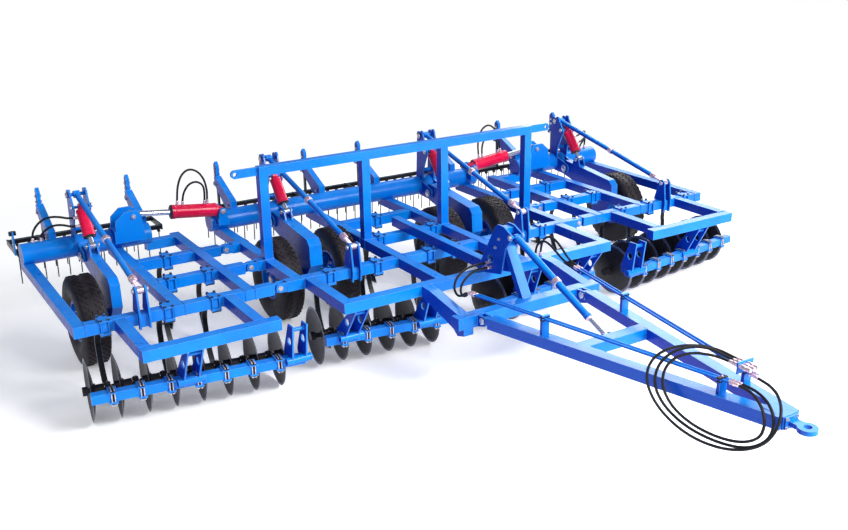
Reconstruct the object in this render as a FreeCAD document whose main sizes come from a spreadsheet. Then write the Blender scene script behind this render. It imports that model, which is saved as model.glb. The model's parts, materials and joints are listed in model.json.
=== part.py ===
import FreeCAD, Part
import math
import os
import re

# Combination cultivator: a centre frame and two folding wings on depth wheels, with disc
# gangs in front, spring shanks between and a harrow behind, pulled by an A-shaped drawbar.
# Millimetres, -Y forward, +Z up. Left is at negative X, as seen from in front. The origin
# lies on the ground in the middle of the machine's length and width. The left side is built
# and the right side mirrors it.

doc = FreeCAD.newDocument("combination_cultivator")
sheet = doc.addObject("Spreadsheet::Sheet", "dims")

SIZES = {
    # frame tubes
    "tube": 100, "frame_top": 820, "main_x": 480, "outer_x": 1605, "carrier_x": 1500,
    "rear_beam_y": 2820, "rear_beam_z": "=frame_top + 80", "rear_beam_radius": 110,
    "centre_beam_half": 1740, "cross_rear_y": 2220, "gantry_y": 1570, "cross_front_y": 880,
    "carrier_y": 90, "spine_wide": 84, "spine_high": 100, "spine_front_y": 30,
    "spine_rear_y": 1790,
    # wings
    "hinge_x": 1800, "wing_inner_x": 2100, "wing_mid_x": 2770, "wing_outer_x": 3640,
    "wing_beam_inner": 2400, "wing_beam_outer": 3690, "wing_carrier_outer": 3300,
    "wing_carrier_inner": 2310, "hinge_lug_radius": 44, "hinge_pin": 30, "hinge_tongue": 40,
    "hinge_fork_plate": 22, "hinge_gap": 65,
    # fold rest
    "gantry_bar": 90, "gantry_top": "=frame_top + 940", "nose_hole_x": 1883, "nose_hole": 40,
    "nose_plate": 24, "nose_height": 84,
    # masts, arms and wheels
    "centre_mast_x": 1020, "wing_mast_x": 3095, "centre_mast_top": "=frame_top + 740",
    "wing_mast_top": "=frame_top + 665",
    "mast_plate": 16, "mast_y": 2760, "mast_width": 120, "clear": 7, "gland": 4,
    "arm_pivot_y": 2570, "arm_pivot_z": "=frame_top + 40", "centre_arm_width": 140, "wing_arm_width": 96,
    "arm_pin": 50,
    "axle_y": 1926, "tyre_radius": 440, "tyre_width": 264, "tyre_bore": 200,
    "twin_spread": "=centre_mast_x - main_x - tube / 2 - 18 - tyre_width / 2", "wing_wheel_x": 3340, "axle_radius": 35,
    # depth cylinders
    "depth_head_y": 2640, "depth_head_z": "=frame_top + 525", "depth_foot_y": 2370, "depth_foot_z": "=arm_pivot_z + 150",
    "depth_barrel_radius": 60, "depth_barrel_length": 330, "depth_rod_radius": 25,
    "depth_eye_radius": 34, "depth_eye_width": 54, "depth_pin": 28,
    # stays
    "stay_foot_y": 850, "stay_foot_z": "=frame_top + 210", "stay_radius": 28, "stay_thread": 180,
    "stay_eye_radius": 30, "stay_eye_width": 62,
    # fold cylinders
    "fold_y": 2720, "fold_base_x": 1640, "fold_base_z": "=rear_beam_z + 78 + fold_barrel_radius", "fold_eye_x": 2600,
    "fold_eye_z": "=fold_base_z + 110", "fold_barrel_radius": 72, "fold_barrel_length": 540,
    "fold_rod_radius": 30, "fold_eye_radius": 38, "fold_eye_width": 66, "fold_pin": 34,
    # disc gangs
    "disc_radius": 280, "disc_pitch": 235, "disc_plate": 7, "disc_dish": 46, "gang_sweep": 7.5,
    "wing_gang_x": 1980, "wing_gang_y": 501, "wing_discs": 8,
    "centre_gang_x": 329, "centre_gang_y": 539, "centre_discs": 6,
    "spool_radius": 42, "gang_shaft_radius": 22, "gang_bar": 80, "gang_bar_z": 360,
    "gang_bar_ahead": 340, "hanger_plate": 14, "hanger_gap": 130,
    # shanks
    "shank_width": 50, "shank_thick": 16, "sweep_width": 130,
    # harrow
    "harrow_y": 3330, "harrow_bar": 44, "harrow_bar_z": 780, "tine_radius": 6,
    "tine_spacing": 118, "tine_tip_z": 440, "harrow_rear_y": 3640, "harrow_top_z": "=frame_top + 620",
    "harrow_arm_width": 70,
    # drawbar
    "drop_leg_x": 700, "cross_bar": 110, "cross_bar_half": 800, "cross_bar_y": -585,
    "cross_bar_top": 735, "drawbar_pivot_y": -715, "drawbar_pivot_z": 700,
    "drawbar_rear_x": 560, "drawbar_nose_x": 45, "drawbar_nose_y": -3440,
    "drawbar_nose_z": 790, "drawbar_high": 100, "drawbar_wide": 110, "eye_y": -3600,
    "eye_bore": 60, "eye_radius": 70, "eye_plate": 36, "mid_member_y": -1710,
    "strut_top_y": -380, "strut_top_z": 1270, "strut_foot_y": -1618, "strut_foot_z": 740,
    "head_plate": 16, "head_gap": 100, "head_hole_y": -80, "head_hole_z": 990,
    "head_top": "=frame_top + 530", "head_window": 45,
    "strut_radius": 32, "strut_rod_radius": 20, "pipe_radius": 11, "pipe_z": 930,
    # hoses
    "hose_radius": 11, "hose_seat": 0.3, "plug_radius": 16, "plug_length": 150,
    "plug_y": -2930, "plug_z": 1005,
}
for row, (name, number) in enumerate(SIZES.items(), start=1):
    sheet.set(f"A{row}", name)
    sheet.setAlias(f"B{row}", name)
for row, number in enumerate(SIZES.values(), start=1):
    sheet.set(f"B{row}", str(number))
doc.recompute()

TURN = {
    "x": FreeCAD.Rotation(FreeCAD.Vector(0, 1, 0), 90),
    "y": FreeCAD.Rotation(FreeCAD.Vector(1, 0, 0), -90),
    "z": FreeCAD.Rotation(),
}
LEFT, RIGHT = -1, 1
nodes = {}


def size(name):
    """A driving size, read from the sheet."""
    return float(sheet.get(name))


def bound(text):
    """An expression with each size's name written as a cell of the sheet."""
    return re.sub(r"[a-z_]+", lambda word: "dims." + word.group(0)
                  if word.group(0) in SIZES else word.group(0), str(text))


def bind(thing, **expressions):
    for path, text in expressions.items():
        thing.setExpression(path.replace("__", "."), bound(text))
    return thing


def place(thing, x, y, z):
    return bind(thing, Placement__Base__x=x, Placement__Base__y=y, Placement__Base__z=z)


def box(name, length, width, height, x, y, z):
    """A block with its lowest corner at x, y, z; every size is an expression."""
    thing = bind(doc.addObject("Part::Box", name), Length=length, Width=width, Height=height)
    return place(thing, x, y, z)


def rod(name, radius, length, x, y, z, axis="x"):
    """A round bar from x, y, z along one axis."""
    thing = bind(doc.addObject("Part::Cylinder", name), Radius=radius, Height=length)
    thing.Placement = FreeCAD.Placement(FreeCAD.Vector(), TURN[axis])
    return place(thing, x, y, z)


def along_x(name, start, end, y, top, side="tube"):
    """A square tube along X between two stations, given by its centre line in Y and its top."""
    return box(name, f"({end}) - ({start})", side, side, start,
               f"({y}) - {side} / 2", f"({top}) - {side}")


def along_y(name, x, start, end, top, side="tube"):
    """A square tube along Y between two stations, given by its centre line in X and its top."""
    return box(name, side, f"({end}) - ({start})", side, f"({x}) - {side} / 2",
               start, f"({top}) - {side}")


def join(name, *things):
    thing = doc.addObject("Part::MultiFuse", name)
    thing.Shapes = list(things)
    thing.Refine = True
    return thing


def cut(name, base, tool):
    thing = doc.addObject("Part::Cut", name)
    thing.Base, thing.Tool, thing.Refine = base, tool, True
    return thing


def solid(name, shape):
    """A piece whose outline no primitive gives; its sizes come from the sheet."""
    thing = doc.addObject("Part::Feature", name)
    thing.Shape = shape
    return thing


def mirror(name, source):
    """The same piece on the other side of the machine's centre plane."""
    thing = doc.addObject("Part::Mirroring", name)
    thing.Source = source
    thing.Normal = (1, 0, 0)
    return thing


def node(label, thing):
    thing.Label = label
    nodes[label] = thing
    return thing


def pair(label, left):
    """Keep a left piece and its mirror image as two nodes."""
    node(f"left_{label}", left)
    node(f"right_{label}", mirror(f"right_{label}", left))


def vec(x, y, z):
    return FreeCAD.Vector(x, y, z)


def plate(points, thickness, x, fillet=0):
    """A flat plate across X: an outline of (y, z) points, centred on x, with rounded corners."""
    corners = [vec(x - thickness / 2, y, z) for y, z in points]
    shape = Part.Face(Part.makePolygon(corners + corners[:1])).extrude(vec(thickness, 0, 0))
    if fillet:
        upright = [edge for edge in shape.Edges
                   if abs(edge.tangentAt(edge.FirstParameter).x) > 0.99]
        shape = shape.makeFillet(fillet, upright)
    return shape


def disc_x(y, z, radius, x, length):
    """A round bar along X from x."""
    return Part.makeCylinder(radius, length, vec(x, y, z), vec(1, 0, 0))


def bar(start, end, wide, high, roll_up=(0, 0, 1)):
    """A straight square-section bar from start to end, wide across and high along roll_up."""
    start, end, up = vec(*start), vec(*end), vec(*roll_up)
    run = end - start
    across = run.cross(up).normalize()
    upward = across.cross(run).normalize()
    corners = [start + across * (wide / 2 * a) + upward * (high / 2 * b)
               for a, b in ((-1, -1), (1, -1), (1, 1), (-1, 1))]
    return Part.Face(Part.makePolygon(corners + corners[:1])).extrude(run)


def round_bar(start, end, radius):
    start, end = vec(*start), vec(*end)
    return Part.makeCylinder(radius, (end - start).Length, start, end - start)


def fused(shapes):
    return shapes[0].multiFuse(shapes[1:]).removeSplitter()


# ---------------------------------------------------------------- centre frame
def beam_space(name, start, end):
    """The room of a rear beam, cut out of the tubes that run under it."""
    return rod(name, "rear_beam_radius", f"({end}) - ({start})", start,
               "rear_beam_y", "rear_beam_z")


def hinge_fork(name, y):
    """Two rounded ears and a pin on the left end of a centre cross tube."""
    ears = []
    for number, shift in enumerate(("hinge_tongue / 2 + 2",
                                    "-hinge_tongue / 2 - 2 - hinge_fork_plate")):
        start = f"({y}) + {shift}"
        ears.append(box(f"{name}_ear_{number}", "hinge_gap", "hinge_fork_plate",
                        "2 * hinge_lug_radius", "-hinge_x", start,
                        "frame_top - tube / 2 - hinge_lug_radius"))
        ears.append(rod(f"{name}_round_{number}", "hinge_lug_radius", "hinge_fork_plate",
                        "-hinge_x", start, "frame_top - tube / 2", "y"))
    reach = "hinge_tongue / 2 + 8 + hinge_fork_plate"
    ears.append(rod(f"{name}_pin", "hinge_pin / 2", f"2 * ({reach})", "-hinge_x",
                    f"({y}) - ({reach})", "frame_top - tube / 2", "y"))
    return ears


def stay_bracket(x):
    """An upright bracket on the front cross tube with a pin for the stay's foot."""
    y, z, top = size("stay_foot_y"), size("stay_foot_z"), size("frame_top")
    front, low = size("cross_front_y") - size("tube") / 2, top - size("tube")
    shapes = []
    spread, thick = size("stay_eye_width") / 2 + 12, 16
    for side in (-1, 1):
        outline = ((front + size("tube") + 28, top), (y + 40, z + 12), (y + 14, z + 40),
                   (y - 14, z + 40), (y - 44, z + 10), (front - 56, top - 30),
                   (front - 40, low - 30), (front, low - 30), (front, top))
        shapes.append(plate(outline, thick, x + side * spread))
    pin = 2 * spread + thick + 26
    shapes.append(disc_x(y, z, 13, x - pin / 2, pin))
    shapes.append(Part.makeBox(2 * spread, 14, 110, vec(x - spread, front - 14, low - 20)))
    return fused(shapes)


HINGE_STATIONS = ("cross_front_y", "gantry_y", "cross_rear_y")

frame = []
for side, word in ((LEFT, "left"), (RIGHT, "right")):
    frame.append(along_y(f"{word}_main_beam", f"{side} * main_x", "carrier_y - tube / 2",
                         "rear_beam_y + rear_beam_radius", "frame_top"))
    frame.append(along_y(f"{word}_outer_beam", f"{side} * outer_x", "cross_front_y - tube / 2",
                         "rear_beam_y + rear_beam_radius", "frame_top"))
    frame.append(along_y(f"{word}_carrier_beam", f"{side} * carrier_x", "carrier_y",
                         "cross_front_y", "frame_top"))
frame.append(along_x("front_carrier", "-carrier_x - tube / 2", "carrier_x + tube / 2",
                     "carrier_y", "frame_top"))
for station in HINGE_STATIONS:
    reach = "hinge_x - hinge_gap" if station == "cross_front_y" else "main_x"
    frame.append(along_x(f"centre_{station}", f"-({reach})", reach, station, "frame_top"))
    left_ears = hinge_fork(f"hinge_{station}", station)
    if station != "cross_front_y":
        left_ears.append(along_x(f"stub_{station}", "-hinge_x + hinge_gap", "-outer_x",
                                 station, "frame_top"))
    ears = join(f"ears_{station}", *left_ears)
    frame += [ears, mirror(f"ears_right_{station}", ears)]
for side, word in ((LEFT, "left"), (RIGHT, "right")):
    frame.append(solid(f"{word}_stay_bracket", stay_bracket(side * size("centre_mast_x"))))
frame.append(box("spine", "spine_wide", "spine_rear_y - spine_front_y", "spine_high",
                 "-spine_wide / 2", "spine_front_y", "frame_top"))
node("centre_frame", cut("frame_cut", join("frame_tubes", *frame),
                         beam_space("centre_beam_space", "-centre_beam_half",
                                    "centre_beam_half")))


# ---------------------------------------------------------------- rear beams with masts and arm lugs
def mast(x, top):
    """Two upright plates round a depth cylinder's head, joined by a tube at the top."""
    spread = size("depth_barrel_radius") + size("gland") + size("clear") + size("mast_plate") / 2
    y, width = size("mast_y"), size("mast_width")
    head_y, head_z = size("depth_head_y"), size("depth_head_z")
    outline = ((y + width / 2 + 40, size("rear_beam_z")), (y + width / 2, top - 60),
               (y + width / 2 - 35, top), (y - width / 2, top),
               (head_y - 45, head_z - 20), (head_y - 20, head_z - 60),
               (y - width / 2, size("rear_beam_z") + 200),
               (size("rear_beam_y") - size("rear_beam_radius") + 10, size("rear_beam_z")))
    plates = [plate(outline, size("mast_plate"), x + side * spread) for side in (-1, 1)]
    pin = size("depth_pin") / 2
    long = 2 * spread + size("mast_plate") + 24
    plates.append(disc_x(head_y, head_z, pin, x - long / 2, long))
    plates.append(disc_x(y + 10, top - 42, 18, x - long / 2, long))
    plates.append(disc_x(y + 20, size("rear_beam_z") + 190, 24, x - spread, 2 * spread))
    return fused(plates)


def arm_lugs(x, wide):
    """Two plates under and in front of the rear beam that carry an arm's pin."""
    half, thick = wide / 2, 20
    y, z = size("arm_pivot_y"), size("arm_pivot_z")
    beam_y, beam_z = size("rear_beam_y"), size("rear_beam_z")
    outline = ((beam_y, beam_z + 100), (y + 20, z + 75), (y - 60, z + 45), (y - 75, z),
               (y - 60, z - 45), (y + 20, z - 75), (beam_y, beam_z - 100))
    shapes = [plate(outline, thick, x + side * (half + 6 + thick / 2)) for side in (-1, 1)]
    long = 2 * (half + 6 + thick) + 30
    shapes.append(disc_x(y, z, size("arm_pin") / 2, x - long / 2, long))
    return shapes


def rear_beam(start, end, mast_stations, top, arm_wide, extra=()):
    """A round beam with its end plates, masts and arm lugs as one welded piece."""
    y, z, radius = size("rear_beam_y"), size("rear_beam_z"), size("rear_beam_radius")
    beam = disc_x(y, z, radius, start, end - start)
    shapes = [beam]
    for x in mast_stations:
        shapes += [mast(x, top)] + arm_lugs(x, arm_wide)
    return fused(shapes + list(extra))


def fold_gap():
    """Half the room between the plates that stand astride a fold cylinder."""
    return size("fold_barrel_radius") + size("gland") + size("clear")


def fold_base(side):
    """Two ears and a step on the centre rear beam that hold a fold cylinder's base."""
    x, y, z = side * size("fold_base_x"), size("fold_y"), size("fold_base_z")
    beam_y, beam_z, thick = size("rear_beam_y"), size("rear_beam_z"), 18
    shapes = []
    for way in (-1, 1):
        start = y + way * fold_gap() - (thick if way < 0 else 0)
        corners = [vec(x + a, start, c) for a, c in
                   ((-60, beam_z), (60, beam_z), (38, z + 15), (16, z + 38),
                    (-16, z + 38), (-38, z + 15))]
        shapes.append(Part.Face(Part.makePolygon(corners + corners[:1])).extrude(
            vec(0, thick, 0)))
    front = y - fold_gap() - thick
    step = z - fold_gap() - beam_z
    shapes.append(Part.makeBox(120, beam_y - front, step, vec(x - 60, front, beam_z)))
    long = 2 * (fold_gap() + thick) + 20
    shapes.append(Part.makeCylinder(size("fold_pin") / 2, long, vec(x, y - long / 2, z),
                                    vec(0, 1, 0)))
    return shapes


half_beam = size("centre_beam_half")
mast_x = size("centre_mast_x")
node("centre_rear_beam", solid("centre_rear_beam", rear_beam(
    -half_beam, half_beam, (-mast_x, mast_x), size("centre_mast_top"), size("centre_arm_width"),
    fold_base(LEFT) + fold_base(RIGHT))))


def fold_lug():
    """Two rounded plates on the wing beam, astride the fold rod's eye."""
    x, y, z = -size("fold_eye_x"), size("fold_y"), size("fold_eye_z")
    beam_y, beam_z, thick = size("rear_beam_y"), size("rear_beam_z"), 20
    shapes = []
    for way in (-1, 1):
        start = y + way * fold_gap() - (thick if way < 0 else 0)
        corners = [vec(x + a, start, c) for a, c in
                   ((-210, beam_z), (110, beam_z), (80, z + 20), (40, z + 60),
                    (-90, z + 60), (-180, z - 20))]
        shapes.append(Part.Face(Part.makePolygon(corners + corners[:1])).extrude(
            vec(0, thick, 0)))
        outer = y + way * (fold_gap() + thick)
        shapes.append(Part.makeCylinder(26, 14, vec(x, outer, z), vec(0, way, 0)))
    front = y - fold_gap() - thick
    shapes.append(Part.makeBox(50, beam_y - front, 130, vec(x - 205, front, beam_z)))
    return shapes


node("left_wing_rear_beam", solid("left_wing_rear_beam", rear_beam(
    -size("wing_beam_outer"), -size("wing_beam_inner"), (-size("wing_mast_x"),),
    size("wing_mast_top"), size("wing_arm_width"), fold_lug())))
node("right_wing_rear_beam", mirror("right_wing_rear_beam", nodes["left_wing_rear_beam"]))


# ---------------------------------------------------------------- fold rest
def gantry():
    """Four posts on the frame, a bar across them and a rounded nose at each end."""
    parts = []
    for side, word in ((LEFT, "left"), (RIGHT, "right")):
        for x in ("main_x", "outer_x"):
            parts.append(box(f"{word}_{x}_post", "gantry_bar", "gantry_bar",
                             "gantry_top - gantry_bar / 2 - frame_top",
                             f"{side} * {x} - gantry_bar / 2", "gantry_y - gantry_bar / 2",
                             "frame_top"))
        start = "outer_x" if side == RIGHT else "-nose_hole_x"
        nose = [box(f"{word}_nose_plate", "nose_hole_x - outer_x", "nose_plate", "nose_height",
                    start, "gantry_y - nose_plate / 2",
                    "gantry_top - gantry_bar / 2 - nose_height / 2"),
                rod(f"{word}_nose_round", "nose_height / 2", "nose_plate",
                    f"{side} * nose_hole_x", "gantry_y - nose_plate / 2",
                    "gantry_top - gantry_bar / 2", "y")]
        hole = rod(f"{word}_nose_hole", "nose_hole / 2", "nose_plate + 4",
                   f"{side} * nose_hole_x", "gantry_y - nose_plate / 2 - 2",
                   "gantry_top - gantry_bar / 2", "y")
        parts.append(cut(f"{word}_nose", join(f"{word}_nose_blank", *nose), hole))
    parts.append(box("gantry_beam", "2 * outer_x + gantry_bar", "gantry_bar", "gantry_bar",
                     "-outer_x - gantry_bar / 2", "gantry_y - gantry_bar / 2",
                     "gantry_top - gantry_bar"))
    return join("gantry_parts", *parts)


node("fold_gantry", gantry())


# ---------------------------------------------------------------- wing frame
def hinge_tongue(name, y):
    """A rounded tongue with a bore on the wing side of one hinge."""
    plate_part = box(f"{name}_flat", "hinge_gap", "hinge_tongue", "2 * hinge_lug_radius - 4",
                     "-hinge_x - hinge_gap", f"({y}) - hinge_tongue / 2",
                     "frame_top - tube / 2 - hinge_lug_radius + 2")
    round_part = rod(f"{name}_end", "hinge_lug_radius - 2", "hinge_tongue", "-hinge_x",
                     f"({y}) - hinge_tongue / 2", "frame_top - tube / 2", "y")
    bore = rod(f"{name}_bore", "hinge_pin / 2 + 0.3", "hinge_tongue + 4", "-hinge_x",
               f"({y}) - hinge_tongue / 2 - 2", "frame_top - tube / 2", "y")
    return cut(f"{name}_tongue", join(f"{name}_blank", plate_part, round_part), bore)


wing = []
for x in ("wing_inner_x", "wing_mid_x", "wing_outer_x"):
    wing.append(along_y(f"wing_{x}", f"-{x}", "cross_front_y - tube / 2",
                        "rear_beam_y + rear_beam_radius", "frame_top"))
for x in ("wing_carrier_inner", "wing_carrier_outer"):
    wing.append(along_y(f"wing_{x}", f"-{x}", "carrier_y - tube / 2", "cross_front_y",
                        "frame_top"))
wing.append(along_x("wing_carrier", "-wing_carrier_outer - tube / 2",
                    "-wing_inner_x - tube / 2", "carrier_y", "frame_top"))
for station in HINGE_STATIONS:
    outer = "wing_outer_x" if station == "cross_front_y" else "wing_mid_x"
    wing.append(along_x(f"wing_{station}", f"-{outer}", "-hinge_x - hinge_gap", station,
                        "frame_top"))
    wing.append(hinge_tongue(f"wing_{station}", station))


wing.append(along_x("wing_rear_cross", "-wing_beam_inner - tube / 2", "-wing_inner_x",
                    "rear_beam_y", "frame_top"))
wing.append(solid("wing_stay_bracket", stay_bracket(-size("wing_mast_x"))))
pair("wing_frame", cut("wing_frame_cut", join("wing_tubes", *wing),
                       beam_space("wing_beam_space", "-wing_beam_outer", "-wing_beam_inner")))


# ---------------------------------------------------------------- headstock and drop legs
def headstock():
    """Side plates over the front carrier, with a front leg down to the lower cross bar."""
    low, top, thick = size("frame_top"), size("head_top"), size("head_plate")
    front = size("carrier_y") - size("tube") / 2
    pin_y, pin_z, gap = size("strut_top_y"), size("strut_top_z"), size("head_gap")
    outline = ((front + 90, low), (-40, 1130), (-150, top - 30), (-190, top), (-275, top),
               (pin_y - 16, pin_z + 26), (pin_y - 24, pin_z), (pin_y - 10, pin_z - 28),
               (-310, 1150), (-250, 880), (front, low))
    shapes = []
    for side in (-1, 1):
        x = side * (gap + thick) / 2
        blank = plate(outline, thick, x)
        shapes.append(blank.cut(disc_x(size("head_hole_y"), size("head_hole_z"),
                                       size("head_window"), x - thick, 2 * thick)))
    leg_foot = size("cross_bar_y") + 30
    shapes.append(bar((0, -262, 1180), (0, leg_foot, size("cross_bar_top") - 40), gap, 60,
                      (0, 1, 0.3)))
    shapes.append(Part.makeBox(gap + 2 * thick, 85, 60, vec(-gap / 2 - thick, -275, top - 80)))
    shapes.append(disc_x(pin_y, pin_z, 14, -gap / 2 - thick - 8, gap + 2 * thick + 16))
    side_bar = size("cross_bar")
    cross = Part.makeBox(2 * size("cross_bar_half"), side_bar, side_bar,
                         vec(-size("cross_bar_half"), size("cross_bar_y") - side_bar / 2,
                             size("cross_bar_top") - side_bar))
    spine = Part.makeBox(size("spine_wide"), 900, size("spine_high") + 300,
                         vec(-size("spine_wide") / 2, size("spine_front_y"), low - 200))
    return fused(shapes).cut(cross).cut(spine)


node("headstock", solid("headstock", headstock()))


def drop_frame():
    """The lower cross bar with its two drop legs and the ears that carry the drawbar."""
    half, y, top = size("cross_bar_half"), size("cross_bar_y"), size("cross_bar_top")
    side_bar = size("cross_bar")
    front = size("carrier_y") - size("tube") / 2
    shapes = [Part.makeBox(2 * half, side_bar, side_bar, vec(-half, y - side_bar / 2,
                                                             top - side_bar))]
    for side in (-1, 1):
        x = side * size("drop_leg_x")
        outline = ((front, size("frame_top")), (front - 130, size("frame_top") - 5),
                   (y - side_bar / 2, top - 10), (y - side_bar / 2 - 6, top - side_bar - 60),
                   (y + 40, top - side_bar - 90), (y + 110, top - side_bar - 40),
                   (front, size("frame_top") - size("tube")))
        shapes.append(plate(outline, 100, x))
        ear_x = side * (size("drawbar_rear_x"))
        for way in (-1, 1):
            ear = ((y - side_bar / 2, top), (size("drawbar_pivot_y") - 30, top + 5),
                   (size("drawbar_pivot_y") - 42, size("drawbar_pivot_z")),
                   (size("drawbar_pivot_y") - 30, size("drawbar_pivot_z") - 42),
                   (y - side_bar / 2, top - side_bar))
            shapes.append(plate(ear, 18, ear_x + way * (size("hinge_tongue") / 2 + 3 + 9)))
        long = size("hinge_tongue") + 6 + 36 + 24
        shapes.append(disc_x(size("drawbar_pivot_y"), size("drawbar_pivot_z"), 18,
                             ear_x - long / 2, long))
    return fused(shapes)


node("drop_frame", solid("drop_frame", drop_frame()))


# ---------------------------------------------------------------- drawbar
def strut_lug():
    """Two ears on the drawbar's middle member, astride the strut's foot."""
    y, z = size("strut_foot_y"), size("strut_foot_z")
    back = size("mid_member_y") + 55
    shapes = []
    for side in (-1, 1):
        shapes.append(plate(((back, z + 40), (y + 8, z + 34), (y + 30, z), (y + 8, z - 34),
                             (back, z - 40)), 14, side * 32))
        shapes.append(disc_x(y, z, 15, side * 39 - 6, 12))
    return shapes


def drawbar():
    """Two box beams that meet at the nose, a member across them and a plate at the nose."""
    pivot_y, pivot_z = size("drawbar_pivot_y"), size("drawbar_pivot_z")
    nose_y, nose_z = size("drawbar_nose_y"), size("drawbar_nose_z")
    high, wide = size("drawbar_high"), size("drawbar_wide")
    rear_x, nose_x = size("drawbar_rear_x"), size("drawbar_nose_x")
    rear_y = pivot_y - 70
    shapes = []
    for side in (-1, 1):
        shapes.append(bar((side * rear_x, rear_y, pivot_z + 6), (side * nose_x, nose_y, nose_z),
                          wide, high))
        tongue = plate(((rear_y - 30, pivot_z + 40), (pivot_y, pivot_z + 36),
                        (pivot_y + 26, pivot_z + 26), (pivot_y + 36, pivot_z),
                        (pivot_y + 26, pivot_z - 26), (pivot_y, pivot_z - 36),
                        (rear_y - 30, pivot_z - 36)), size("hinge_tongue"), side * rear_x)
        shapes.append(tongue.cut(disc_x(pivot_y, pivot_z, 18.3, side * rear_x - 40, 80)))
    mid_y = size("mid_member_y")
    share = (mid_y - rear_y) / (nose_y - rear_y)
    mid_x = rear_x + (nose_x - rear_x) * share
    mid_z = pivot_z + 6 + (nose_z - pivot_z - 6) * share
    shapes.append(Part.makeBox(2 * mid_x, 110, high, vec(-mid_x, mid_y - 55, mid_z - high / 2)))
    nose_box = Part.makeBox(150, 190, high, vec(-75, nose_y - 20, nose_z - high / 2))
    shapes.append(nose_box)
    return fused(shapes + strut_lug())


node("drawbar", solid("drawbar", drawbar()))


def hitch_eye():
    """A flat ring at the nose with an upright bore, and its shank inside the nose box."""
    y, z, thick = size("eye_y"), size("drawbar_nose_z"), size("eye_plate")
    ring = Part.makeCylinder(size("eye_radius"), thick, vec(0, y, z - thick / 2))
    front = size("drawbar_nose_y") - 20
    neck = Part.makeBox(80, front - y, thick, vec(-40, y, z - thick / 2))
    bore = Part.makeCylinder(size("eye_bore") / 2, thick + 4, vec(0, y, z - thick / 2 - 2))
    flange = Part.makeBox(130, 16, size("drawbar_high") - 8,
                          vec(-65, front - 16, z - size("drawbar_high") / 2 + 4))
    return fused([ring, neck, flange]).cut(bore)


node("hitch_eye", solid("hitch_eye", hitch_eye()))


# ---------------------------------------------------------------- cylinders and strut
def ram(head, foot, barrel_length, barrel_radius, rod_radius, eye_radius, eye_width, pin,
        inner_end, axis):
    """A barrel with a bored eye at its head, and a rod that ends in an eye at its foot."""
    start, end, way = vec(*head), vec(*foot), vec(*axis)
    run = (end - start).normalize()
    def eye(centre):
        return Part.makeCylinder(eye_radius, eye_width, centre - way * (eye_width / 2), way)
    neck = Part.makeCylinder(barrel_radius * 0.62, 40, start + run * (eye_radius * 0.5), run)
    tube_start = eye_radius + 6
    tube = Part.makeCylinder(barrel_radius, barrel_length - tube_start,
                             start + run * tube_start, run)
    gland = Part.makeCylinder(barrel_radius + size("gland"), 26,
                              start + run * (barrel_length - 26), run)
    barrel = fused([eye(start), neck, tube, gland])
    barrel = barrel.cut(Part.makeCylinder(pin / 2 + 0.3, eye_width + 20,
                                          start - way * (eye_width / 2 + 10), way))
    bore_start = tube_start + 14
    barrel = barrel.cut(Part.makeCylinder(rod_radius + 0.3, barrel_length - bore_start + 5,
                                          start + run * bore_start, run))
    reach = (end - start).Length
    stem = Part.makeCylinder(rod_radius, reach - inner_end - eye_radius * 0.4,
                             start + run * inner_end, run)
    return barrel, fused([stem, eye(end)])


depth_sizes = [size("depth_" + word) for word in (
    "barrel_length", "barrel_radius", "rod_radius", "eye_radius", "eye_width", "pin")]
for place_word, x in (("wing", "wing_mast_x"), ("centre", "centre_mast_x")):
    x = -size(x)
    barrel, stem = ram((x, size("depth_head_y"), size("depth_head_z")),
                       (x, size("depth_foot_y"), size("depth_foot_z")),
                       *depth_sizes, size("depth_barrel_length") - 160, (1, 0, 0))
    pair(f"{place_word}_depth_barrel", solid(f"{place_word}_depth_barrel", barrel))
    pair(f"{place_word}_depth_rod", solid(f"{place_word}_depth_rod", stem))

fold_sizes = [size("fold_" + word) for word in (
    "barrel_length", "barrel_radius", "rod_radius", "eye_radius", "eye_width", "pin")]
barrel, stem = ram((-size("fold_base_x"), size("fold_y"), size("fold_base_z")),
                   (-size("fold_eye_x"), size("fold_y"), size("fold_eye_z")),
                   *fold_sizes, size("fold_barrel_length") - 20, (0, 1, 0))
pair("fold_barrel", solid("fold_barrel", barrel))
pair("fold_rod", solid("fold_rod", stem))

barrel, stem = ram((0, size("strut_top_y"), size("strut_top_z")),
                   (0, size("strut_foot_y"), size("strut_foot_z")), 1120,
                   size("strut_radius"), size("strut_rod_radius"), 26, 44, 28, 800, (1, 0, 0))
node("strut_barrel", solid("strut_barrel", barrel))
node("strut_rod", solid("strut_rod", stem))


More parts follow.
